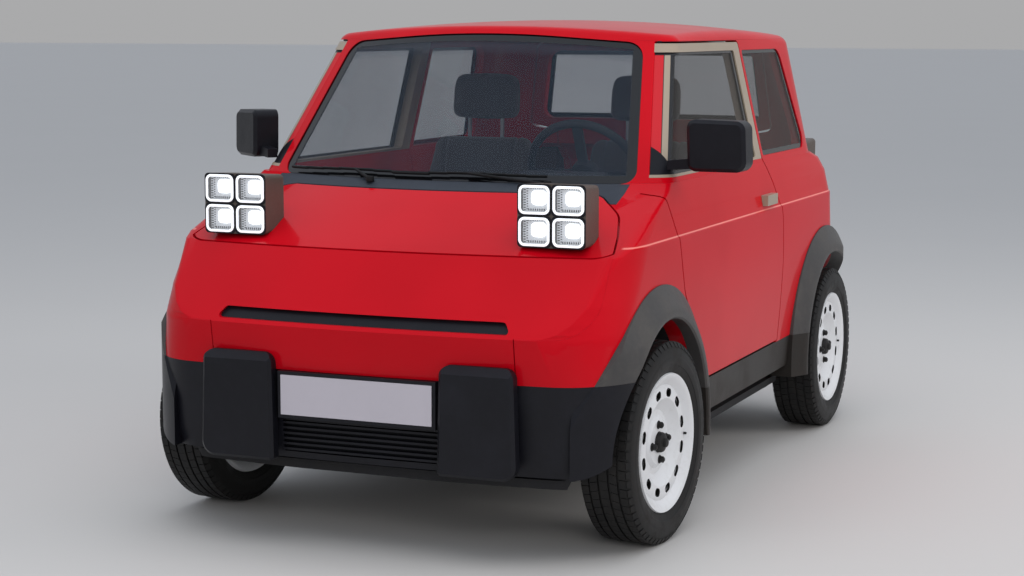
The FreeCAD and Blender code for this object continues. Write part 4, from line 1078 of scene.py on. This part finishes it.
@dataclass
class Wheel:
    """Treaded tyre, hub cap, bolts, brake drum and valve of one wheel, with dark vent linings and a dark ring
    behind the vents as painted shade.

    Profiles hold (distance outwards along the axis, radius) in metres.
    """

    tag: str
    body: Body
    side: Side
    radius: float = 0.285
    bead: float = 0.1785
    groove: float = 0.0065
    pitches: int = 66
    block_root: float = 0.002
    crown_drop: float = 0.0006
    lug_across: float = 0.0698
    lug_radius: float = 0.2735
    lug_tilt: float = 58.0
    lug_width: float = 0.016
    lug_share: float = 0.7
    lug_height: float = 0.0035
    tread_rows: tuple[TreadRow, ...] = (
        TreadRow(-0.0555, 0.0200, 0.91, 0.08, 0.0012, 0.0),
        TreadRow(-0.0290, 0.0215, 0.93, 0.22, 0.0002, 0.5),
        TreadRow(0.0, 0.0235, 0.965, 0.0, 0.0, 0.25),
        TreadRow(0.0290, 0.0215, 0.93, -0.22, 0.0002, 0.5),
        TreadRow(0.0555, 0.0200, 0.91, -0.08, 0.0012, 0.0),
    )
    kingpin_x: float = 0.560
    front_y: float = -0.860
    rear_y: float = 1.005
    hub_z: float = 0.285
    track_x: float = 0.662
    rest_steer: float = -4.2
    hub_face: float = 0.045
    hub_cap: tuple[tuple[float, float], ...] = (
        (-0.004, 0.001), (-0.004, 0.0285), (0.009, 0.0285), (0.014, 0.026), (0.017, 0.019), (0.018, 0.0135),
        (0.024, 0.0125), (0.026, 0.010), (0.0265, 0.001),
    )
    bolts: int = 4
    bolt_circle: float = 0.050
    first_bolt: float = 6.0
    bolt: tuple[RoundStep, ...] = (
        RoundStep(0.0003, 0.0035, 0.0125, 0.0105, 24, 0.0008),
        RoundStep(0.0030, 0.0130, 0.0092, 0.0092, 6, 0.0012),
        RoundStep(0.0120, 0.0155, 0.0072, 0.0052, 16, 0.0010),
    )
    brake_drum: tuple[tuple[float, float], ...] = (
        (-0.018, 0.036), (-0.018, 0.140), (-0.012, 0.1465), (0.006, 0.1465), (0.012, 0.138), (0.012, 0.080),
        (0.015, 0.066), (0.015, 0.036),
    )
    # Dark ring behind the vents: painted shade seen through them.
    vent_shade_ring: tuple[tuple[float, float], ...] = (
        (0.038, 0.124), (0.038, 0.151), (0.0460, 0.151), (0.0465, 0.1495), (0.0465, 0.1265), (0.0430, 0.124),
    )
    vents: int = 12
    vent: tuple[float, float] = (0.0358, 0.0238)
    vent_radius: float = 0.1403
    vent_depth: float = 0.0576
    # Dark vent linings: painted shade on the vent walls.
    shade_liner_depth: float = 0.0066
    shade_liner_wall: float = 0.0006
    shade_liner_slack: float = 0.0001
    valve_radius: float = 0.152
    valve: RoundStep = RoundStep(0.050, 0.066, 0.0045, 0.0035, 12, 0.0006)

    def __post_init__(self) -> None:
        """Work out the wheel's centre and its three directions at rest."""
        sign = self.side.value
        turn = Matrix.Identity(3)
        self.centre = Vector((sign * self.track_x, self.rear_y, self.hub_z))
        if self.body in (Body.WHEEL_FL, Body.WHEEL_FR):
            turn = Matrix.Rotation(math.radians(self.rest_steer), 3, "Z")
            pivot = Vector((sign * self.kingpin_x, self.front_y, self.hub_z))
            self.centre = pivot + turn @ Vector((sign * (self.track_x - self.kingpin_x), 0, 0))
        self.axis = turn @ Vector((sign, 0, 0))
        self.up = Vector((0, 0, 1))
        self.along = self.up.cross(self.axis).normalized()

    def carcass_profile(self) -> list[tuple[float, float]]:
        """Section of the tyre under its tread blocks, with ridges on the sidewall.

        Returns:
            The closed profile's corners.
        """
        floor = self.radius - self.groove
        half = [(0.0575, self.bead), (0.0625, 0.184), (0.0665, 0.196), (0.0700, 0.201), (0.0715, 0.205),
                (0.0755, 0.217), (0.0772, 0.2185), (0.0780, 0.222), (0.0788, 0.232), (0.0788, 0.240),
                (0.0782, 0.2415), (0.0782, 0.2445), (0.0765, 0.256), (0.0735, 0.268), (0.0700, 0.2735),
                (0.0655, floor - 0.0018), (0.0540, floor), (0.0200, floor + 0.0006)]
        mirrored = [(-along, radius) for along, radius in reversed(half)]
        return half + mirrored

    def add_tread(self, solid: Solid) -> None:
        """Add the rows of tread blocks and the shoulder lugs.

        Args:
            solid: where they go.
        """
        turn = Matrix((self.axis, self.along, self.up)).transposed().to_4x4()
        wheel_frame = Matrix.Translation(self.centre) @ turn
        pitch_angle = 2.0 * math.pi / self.pitches
        pitch = self.radius * pitch_angle
        height = self.groove + self.block_root
        for index in range(self.pitches):
            for row in self.tread_rows:
                spin = Matrix.Rotation((index + row.shift) * pitch_angle, 4, "X")
                lean = Matrix(((1, 0, 0, 0), (row.skew, 1, 0, 0), (0, 0, 1, 0), (0, 0, 0, 1)))
                middle = self.radius - row.drop - self.crown_drop - height / 2
                spot = Matrix.Translation((row.across, 0, middle))
                size = Matrix.Diagonal((row.width, pitch * row.share, height, 1))
                place = wheel_frame @ spin @ spot @ lean @ size
                bmesh.ops.create_cube(solid.bm, size=1.0, matrix=place)
            for sign in (1, -1):
                spin = Matrix.Rotation(index * pitch_angle, 4, "X")
                tilt = Matrix.Rotation(math.radians(sign * self.lug_tilt), 4, "Y")
                spot = Matrix.Translation((sign * self.lug_across, 0, self.lug_radius))
                size = Matrix.Diagonal((self.lug_width, pitch * self.lug_share, self.lug_height, 1))
                place = wheel_frame @ spin @ spot @ tilt @ size
                bmesh.ops.create_cube(solid.bm, size=1.0, matrix=place)

    def add_step(self, solid: Solid, spot: Vector, step: RoundStep, base: float = 0.0) -> None:
        """Add one round step that stands on a spot of the wheel."""
        solid.drum(spot + self.axis * (base + step.start), spot + self.axis * (base + step.end), step.radius,
                   step.far_radius, step.sides, step.bevel)

    def build_tyre(self) -> None:
        """Build the tyre."""
        tyre = Solid()
        tyre.turned(self.carcass_profile(), self.centre, self.axis, 96)
        self.add_tread(tyre)
        tyre.piece("treaded_tyre_" + self.tag, "tyre", self.body, "tyre", ("tyre_" + self.tag,), 24.0)

    def build_hub(self) -> None:
        """Build the hub cap and the bolts round it."""
        hub = Solid()
        profile = [(self.hub_face + along, radius) for along, radius in self.hub_cap]
        hub.turned(profile, self.centre, self.axis, 40)
        for index in range(self.bolts):
            angle = math.radians(self.first_bolt + 360.0 * index / self.bolts)
            outward = self.along * math.cos(angle) + self.up * math.sin(angle)
            for step in self.bolt:
                self.add_step(hub, self.centre + outward * self.bolt_circle, step, self.hub_face)
        hub.piece("hub_cap_and_bolts_" + self.tag, "bolt_black", self.body, "dark_steel")

    def build_brake(self) -> None:
        """Build the brake drum, and the dark ring behind the vents as painted shade seen through them."""
        drum = Solid()
        for profile in (self.brake_drum, self.vent_shade_ring):
            drum.turned(profile, self.centre, self.axis)
        drum.piece("brake_drum_" + self.tag, "drum_iron_and_vent_shade", self.body, "dark_steel")

    def build_shade_linings(self) -> None:
        """Build the dark linings of the vents: painted shade on the vent walls."""
        shade_liners = Solid()
        for index in range(self.vents):
            angle = 2.0 * math.pi * (index + 0.5) / self.vents
            outward = self.up * math.cos(angle) + self.along * math.sin(angle)
            corner = self.vent[1] / 2 - self.shade_liner_slack
            corners = shade_liners.tile(0.0, 0.0, 0.0, self.shade_liner_depth, self.vent, corner, self.shade_liner_wall)
            turn = Matrix((self.axis.cross(outward), -self.axis, outward)).transposed().to_4x4()
            spot = self.centre + outward * self.vent_radius + self.axis * self.vent_depth
            bmesh.ops.transform(shade_liners.bm, matrix=Matrix.Translation(spot) @ turn, verts=corners)
        shade_liners.piece("vent_liners_" + self.tag, "drum_iron_and_vent_shade", self.body, "dark_steel")

    def build(self) -> None:
        """Build everything on the wheel."""
        self.build_tyre()
        self.build_hub()
        self.build_brake()
        self.build_shade_linings()
        valve = Solid()
        self.add_step(valve, self.centre + self.along * self.valve_radius, self.valve)
        valve.piece("tyre_valve_" + self.tag, "seal_rubber", self.body, "tyre")


@dataclass(frozen=True)
class Wiper:
    """Where one wiper turns and where its blade lies, across the car."""

    pivot_x: float
    start_x: float
    end_x: float


@dataclass
class Wipers:
    """Both wipers, parked at the foot of the windscreen."""

    foot_y: float = -0.898
    foot_z: float = 0.900
    slope: float = 0.8586
    bow: float = 1.33
    pair: tuple[Wiper, ...] = (Wiper(0.34, -0.14, 0.33), Wiper(-0.20, -0.52, -0.02))
    pivot_z: float = 0.974
    pivot_reach: tuple[float, float] = (0.006, 0.010)
    pivot_radii: tuple[float, float] = (0.013, 0.011)
    pivot_edge: float = 0.002
    arm_radii: tuple[float, float] = (0.0058, 0.0038)
    arm_off: float = 0.020
    arm_end_z: float = 1.004
    arm_end_off: float = 0.014
    blade_z: float = 1.001
    blade_rise: float = 0.006
    blade_steps: int = 8
    blade_off: float = 0.010
    blade_radius: float = 0.0036
    lip_off: float = 0.005
    lip_radius: float = 0.0020

    def on_glass(self, x: float, z: float, off: float) -> Vector:
        """Point in front of the glass by a distance along its normal.

        Args:
            x: where it lies across the car.
            z: its height.
            off: its distance from the glass.

        Returns:
            The point, in metres.
        """
        y = self.foot_y + (z - self.foot_z) * self.slope + x * x / (2.0 * self.bow)
        normal = Vector((x / self.bow, -1.0, self.slope)).normalized()
        return Vector((x, y, z)) + normal * off

    def add_arm(self, solid: Solid, wiper: Wiper) -> None:
        """Add the pivot and the arm of one wiper.

        Args:
            solid: where they go.
            wiper: which wiper.
        """
        base = self.on_glass(wiper.pivot_x, self.pivot_z, self.arm_off)
        below, above = self.pivot_reach
        solid.drum(base - Vector((0, 0, below)), base + Vector((0, 0, above)), *self.pivot_radii, 20,
                   self.pivot_edge)
        end = self.on_glass((wiper.start_x + wiper.end_x) / 2, self.arm_end_z, self.arm_end_off)
        solid.drum(base, end, *self.arm_radii, 12)

    def add_blade(self, solid: Solid, wiper: Wiper) -> None:
        """Add the blade and its lip, bent along the glass.

        Args:
            solid: where they go.
            wiper: which wiper.
        """
        length = wiper.end_x - wiper.start_x
        for step in range(self.blade_steps):
            first = wiper.start_x + length * step / self.blade_steps
            last = wiper.start_x + length * (step + 1) / self.blade_steps
            z = self.blade_z + self.blade_rise * (1 - abs(2 * (step + 0.5) / self.blade_steps - 1))
            for off, radius in ((self.blade_off, self.blade_radius), (self.lip_off, self.lip_radius)):
                solid.drum(self.on_glass(first, z, off), self.on_glass(last, z, off), radius, None, 8)

    def build(self) -> None:
        """Build both wipers."""
        wipers = Solid()
        for wiper in self.pair:
            self.add_arm(wipers, wiper)
            self.add_blade(wipers, wiper)
        wipers.piece("wipers", "seal_rubber", Body.SHELL, "black_plastic")


@dataclass
class MirrorGlass:
    """Glass of one door mirror; the far mirror is folded back about its pivot."""

    side: Side
    pivot: tuple[float, float] = (0.655, -0.605)
    centre: tuple[float, float, float] = (0.789, -0.5655, 1.098)
    size: tuple[float, float, float] = (0.150, 0.003, 0.118)
    edge: float = 0.0012
    folded: dict[Side, float] = field(default_factory=lambda: {Side.LEFT: 0.0, Side.RIGHT: 40.0})

    def build(self) -> None:
        """Build the glass."""
        sign = self.side.value
        fold = math.radians(self.folded[self.side])
        pivot = Vector((*self.pivot, 0.0))
        centre = pivot + Matrix.Rotation(fold, 3, "Z") @ (Vector(self.centre) - pivot)
        glass = Solid()
        glass.block((sign * centre.x, centre.y, centre.z), self.size, self.edge, 1,
                    Matrix.Rotation(sign * fold, 3, "Z"))
        tag = self.side.name.lower()
        glass.piece("mirror_glass_" + tag, "mirror_silver", self.side.door, "black_plastic")


@dataclass(frozen=True)
class RoundedBox:
    """A box with rounded edges: its middle, its sizes and its rounding."""

    centre: tuple[float, float, float]
    size: tuple[float, float, float]
    radius: float
    segments: int

    def add(self, solid: Solid) -> None:
        """Add it to a mesh."""
        solid.block(self.centre, self.size, self.radius, self.segments)


@dataclass
class Cabin:
    """Instrument hood and screen on the dashboard, and the seals over the doors."""

    hood: RoundedBox = RoundedBox((0.290, -0.540, 0.982), (0.270, 0.085, 0.046), 0.016, 4)
    hood_ledge: RoundedBox = RoundedBox((0.0, -0.506, 0.966), (0.230, 0.050, 0.020), 0.006, 3)
    screen: RoundedBox = RoundedBox((0.290, -0.4962, 0.980), (0.215, 0.002, 0.030), 0.0006, 1)
    seals: tuple[RoundedBox, ...] = (
        RoundedBox((0.523, -0.030, 1.3862), (0.014, 0.660, 0.0058), 0.0020, 2),
        RoundedBox((-0.523, -0.030, 1.3862), (0.014, 0.660, 0.0058), 0.0020, 2),
    )

    def build(self) -> None:
        """Build the cabin's small parts."""
        for name, finish, slot, boxes in (
                ("instrument_hood", "interior_plastic", "interior_plastic", (self.hood, self.hood_ledge)),
                ("instrument_screen", "screen_glass", "interior_plastic", (self.screen,)),
                ("door_top_seals", "seal_rubber", "black_plastic", self.seals)):
            solid = Solid()
            for box in boxes:
                box.add(solid)
            solid.piece(name, finish, Body.SHELL, slot)


@dataclass(frozen=True)
class Pad:
    """One upholstered pad.

    Attributes:
        name: what it is.
        outline: its side outline, as (y, z) corners.
        half: half its width.
        edge: radius of its edges.
        waist: where its narrowing starts and ends in height, and its share of the width.
        seam_x: how far its two seams lie from its middle, or None where it has no seam.
        fill: how tightly it is filled; not used.
    """

    name: str
    outline: tuple[tuple[float, float], ...]
    half: float
    edge: float
    waist: tuple[float, float, float]
    seam_x: Optional[float] = None
    fill: float = 0.8


@dataclass
class Seats:
    """Two sewn front seats, swollen as cloth, on their bases and headrest posts."""

    centre_x: float = 0.285
    cap: float = 0.009
    cell: float = 0.009
    pressure: float = 4.0
    moments: int = 20
    seam_depth: float = 0.006
    seam_width: float = 0.006
    pads: tuple[Pad, ...] = (
        Pad("cushion", ((-0.318, 0.412), (-0.318, 0.545), (0.100, 0.532), (0.116, 0.412)), 0.205, 0.030,
            (0.0, 1.0, 0.0), 0.130),
        Pad("back", ((0.084, 0.552), (0.172, 1.070), (0.243, 1.064), (0.180, 0.470), (0.132, 0.470)), 0.205,
            0.026, (0.900, 1.070, 0.20), 0.125),
        Pad("headrest", ((0.182, 1.124), (0.198, 1.272), (0.268, 1.266), (0.256, 1.122)), 0.116, 0.024,
            (1.200, 1.275, 0.12), None, 0.9),
    )
    base: RoundedBox = RoundedBox((0.0, -0.070, 0.3205), (0.330, 0.370, 0.172), 0.018, 3)
    post_shift: float = 0.060
    post_foot: tuple[float, float] = (0.218, 1.050)
    post_top: tuple[float, float] = (0.220, 1.145)
    post_radius: float = 0.0065

    def shaped(self, pad: Pad, x: float) -> bpy.types.Object:
        """Make the unswollen pad with rounded edges.

        Args:
            pad: which pad.
            x: the seat's middle across.

        Returns:
            The pad's piece.
        """
        solid = Solid()
        for side in (-1, 1):
            solid.bm.faces.new([solid.bm.verts.new((x + side * pad.half, y, z)) for y, z in pad.outline])
        bmesh.ops.bridge_loops(solid.bm, edges=list(solid.bm.edges))
        bmesh.ops.recalc_face_normals(solid.bm, faces=solid.bm.faces)
        bmesh.ops.bevel(solid.bm, geom=list(solid.bm.edges), offset=pad.edge, segments=3, affect="EDGES",
                        profile=0.5, material=-1)
        bmesh.ops.subdivide_edges(solid.bm, edges=solid.bm.edges, cuts=3, use_grid_fill=True)
        low, high, share = pad.waist
        for vert in solid.bm.verts:
            rise = min(max((vert.co.z - low) / (high - low), 0.0), 1.0)
            vert.co.x = x + (vert.co.x - x) * (1.0 - share * rise * rise)
        return solid.piece("seat_" + pad.name + ("_left" if x > 0 else "_right"), "seat_fabric", Body.SHELL,
                           "seat_fabric", ("seats",), 180.0)

    def applied(self, made: bpy.types.Object) -> None:
        """Put what the piece's modifiers make into its mesh and drop them.

        Args:
            made: the piece.
        """
        graph = bpy.context.evaluated_depsgraph_get()
        mesh = bpy.data.meshes.new_from_object(made.evaluated_get(graph))
        made.modifiers.clear()
        old = made.data
        made.data = mesh
        bpy.data.meshes.remove(old)

    def swollen(self, made: bpy.types.Object) -> None:
        """Swell the pad as cloth under air pressure, within the cap.

        Args:
            made: the pad's piece.
        """
        even = made.modifiers.new("even cells", "REMESH")
        even.mode = "VOXEL"
        even.voxel_size = self.cell
        self.applied(made)
        rest = [vert.co.copy() for vert in made.data.vertices]
        cloth = made.modifiers.new("swell", "CLOTH")
        cloth.settings.use_pressure = True
        cloth.settings.uniform_pressure_force = self.pressure
        cloth.settings.effector_weights.gravity = 0.0
        for moment in range(1, self.moments + 1):
            bpy.context.scene.frame_set(moment)
        self.applied(made)
        bpy.context.scene.frame_set(1)
        for vert, start in zip(made.data.vertices, rest):
            move = vert.co - start
            if move.length > self.cap:
                vert.co = start + move * (self.cap / move.length)

    def sewn(self, made: bpy.types.Object, pad: Pad, x: float) -> None:
        """Press the seams in and finish the surface.

        Args:
            made: the pad's piece.
            pad: which pad it is.
            x: the seat's middle across.
        """
        finer = made.modifiers.new("finer", "SUBSURF")
        finer.levels = 1
        finer.render_levels = 1
        self.applied(made)
        if pad.seam_x is not None:
            normals = [vert.normal.copy() for vert in made.data.vertices]
            for vert, normal in zip(made.data.vertices, normals):
                off = (abs(vert.co.x - x) - pad.seam_x) / self.seam_width
                vert.co -= normal * (self.seam_depth * math.exp(-off * off))
        for polygon in made.data.polygons:
            polygon.use_smooth = True

    def build_stand(self, side: Side) -> None:
        """Build the base and the headrest posts of one seat.

        Args:
            side: which seat.
        """
        x = side.value * self.centre_x
        tag = side.name.lower()
        base = Solid()
        base.block(Vector(self.base.centre) + Vector((x, 0, 0)), self.base.size, self.base.radius,
                   self.base.segments)
        base.piece("seat_base_" + tag, "interior_plastic", Body.SHELL, "interior_plastic", ("seats",))
        posts = Solid()
        for shift in (-self.post_shift, self.post_shift):
            posts.drum((x + shift, *self.post_foot), (x + shift, *self.post_top), self.post_radius, None, 20)
        posts.piece("headrest_posts_" + tag, "post_steel", Body.SHELL, "dark_steel", ("seats",))

    def build(self) -> None:
        """Build both seats."""
        for side in Side:
            x = side.value * self.centre_x
            for pad in self.pads:
                made = self.shaped(pad, x)
                self.swollen(made)
                self.sewn(made, pad, x)
            self.build_stand(side)


@dataclass(frozen=True)
class SoftLamp:
    """One soft area lamp: its place, its size across, its power and its colour."""

    name: str
    place: tuple[float, float, float]
    size: float
    power: float
    colour: Colour


@dataclass
class Stage:
    """Floor, lights and the camera at the photograph's angle."""

    eye: tuple[float, float, float] = (2.480, -6.226, 1.438)
    yaw: float = 22.49
    pitch: float = -7.31
    roll: float = 0.145
    focal_px: float = 2056.9
    frame_px: float = 1024.0
    sensor: float = 36.0
    floor_half: float = 120.0
    floor_colour: Colour = (0.55, 0.535, 0.52)
    horizon: Colour = (0.50, 0.50, 0.505)
    haze: Colour = (0.62, 0.65, 0.70)
    zenith: Colour = (0.80, 0.87, 0.98)
    sky_strength: float = 0.80
    aim: tuple[float, float, float] = (0.0, 0.0, 0.7)
    lamps: tuple[SoftLamp, ...] = (
        SoftLamp("overhead", (0.5, -1.5, 6.5), 7.0, 190.0, (1.0, 0.99, 0.97)),
        SoftLamp("front fill", (3.5, -7.5, 3.2), 3.5, 130.0, (1.0, 0.98, 0.96)),
        SoftLamp("side fill", (7.0, 1.5, 3.0), 4.0, 170.0, (1.0, 0.97, 0.94)),
    )

    def camera(self) -> None:
        """Set the camera that the photograph was fitted with."""
        yaw = math.radians(self.yaw)
        pitch = math.radians(self.pitch)
        forward = Vector((-math.sin(yaw) * math.cos(pitch), math.cos(yaw) * math.cos(pitch), math.sin(pitch)))
        right = Vector((math.cos(yaw), math.sin(yaw), 0.0))
        up = right.cross(forward)
        roll = math.radians(self.roll)
        turned_right = right * math.cos(roll) + up * math.sin(roll)
        turned_up = up * math.cos(roll) - right * math.sin(roll)
        turn = Matrix((turned_right, turned_up, -forward)).transposed()
        data = bpy.data.cameras.new("photo camera")
        data.sensor_width = self.sensor
        data.sensor_fit = "HORIZONTAL"
        data.lens = self.focal_px / self.frame_px * self.sensor
        made = bpy.data.objects.new("photo camera", data)
        made.matrix_world = Matrix.Translation(Vector(self.eye)) @ turn.to_4x4()
        bpy.context.scene.collection.objects.link(made)
        bpy.context.scene.camera = made

    def add_lamp(self, lamp: SoftLamp) -> None:
        """Add one lamp that faces the car's middle and leaves no mirror image of itself.

        Args:
            lamp: which lamp.
        """
        data = bpy.data.lights.new(lamp.name, "AREA")
        data.shape = "DISK"
        data.size = lamp.size
        data.energy = lamp.power
        data.color = lamp.colour
        made = bpy.data.objects.new(lamp.name, data)
        made.location = lamp.place
        way = Vector(self.aim) - Vector(lamp.place)
        made.rotation_euler = way.to_track_quat("-Z", "Y").to_euler()
        made.visible_glossy = False
        bpy.context.scene.collection.objects.link(made)

    def floor(self) -> None:
        """Lay the pale floor."""
        solid = Solid()
        bmesh.ops.create_grid(solid.bm, x_segments=2, y_segments=2, size=self.floor_half)
        mesh = bpy.data.meshes.new("floor")
        solid.bm.to_mesh(mesh)
        solid.bm.free()
        tree = Tree("pale floor")
        cloud = tree.noise(0.6, 4.0)
        colour = tree.mixed(cloud * 0.5, self.floor_colour, tuple(part * 0.94 for part in self.floor_colour))
        mesh.materials.append(tree.shade(Base_Color=colour, Roughness=0.75))
        made = bpy.data.objects.new("floor", mesh)
        bpy.context.scene.collection.objects.link(made)

    def sky(self) -> None:
        """Set the soft sky, which grows brighter and bluer with height."""
        tree = Tree("soft sky", sky=True)
        split = tree.nodes.new("ShaderNodeSeparateXYZ")
        tree.feed(split.inputs[0], tree.node("ShaderNodeTexCoord", out="Generated"))
        rise = Sock(tree, split.outputs[2])
        glow = tree.mixed(rise.ramp(-0.02, 0.30), self.horizon, self.haze)
        glow = tree.mixed(rise.ramp(0.30, 0.85), glow, self.zenith)
        values = {"Color": glow, "Strength": self.sky_strength}
        tree.feed(tree.output.inputs[0], tree.node("ShaderNodeBackground", None, values))
        bpy.context.scene.world = tree.material

    def build(self) -> None:
        """Build the floor, sky, lamps and camera."""
        self.floor()
        self.sky()
        for lamp in self.lamps:
            self.add_lamp(lamp)
        bpy.context.scene.view_settings.view_transform = "Standard"
        self.camera()


WHEELS = (
    ("fl", Body.WHEEL_FL, Side.LEFT), ("fr", Body.WHEEL_FR, Side.RIGHT),
    ("rl", Body.WHEEL_RL, Side.LEFT), ("rr", Body.WHEEL_RR, Side.RIGHT),
)


def main() -> None:
    """Build the car's dress and the stage in order."""
    logging.basicConfig(level=logging.INFO, format="%(name)s %(message)s")
    CadDress().dress()
    for tag, body, side in WHEELS:
        Wheel(tag, body, side).build()
    for side in Side:
        LampCluster(side).build()
        MirrorGlass(side).build()
    Wipers().build()
    Cabin().build()
    Seats().build()
    Stage().build()


if __name__ == "__main__":
    main()
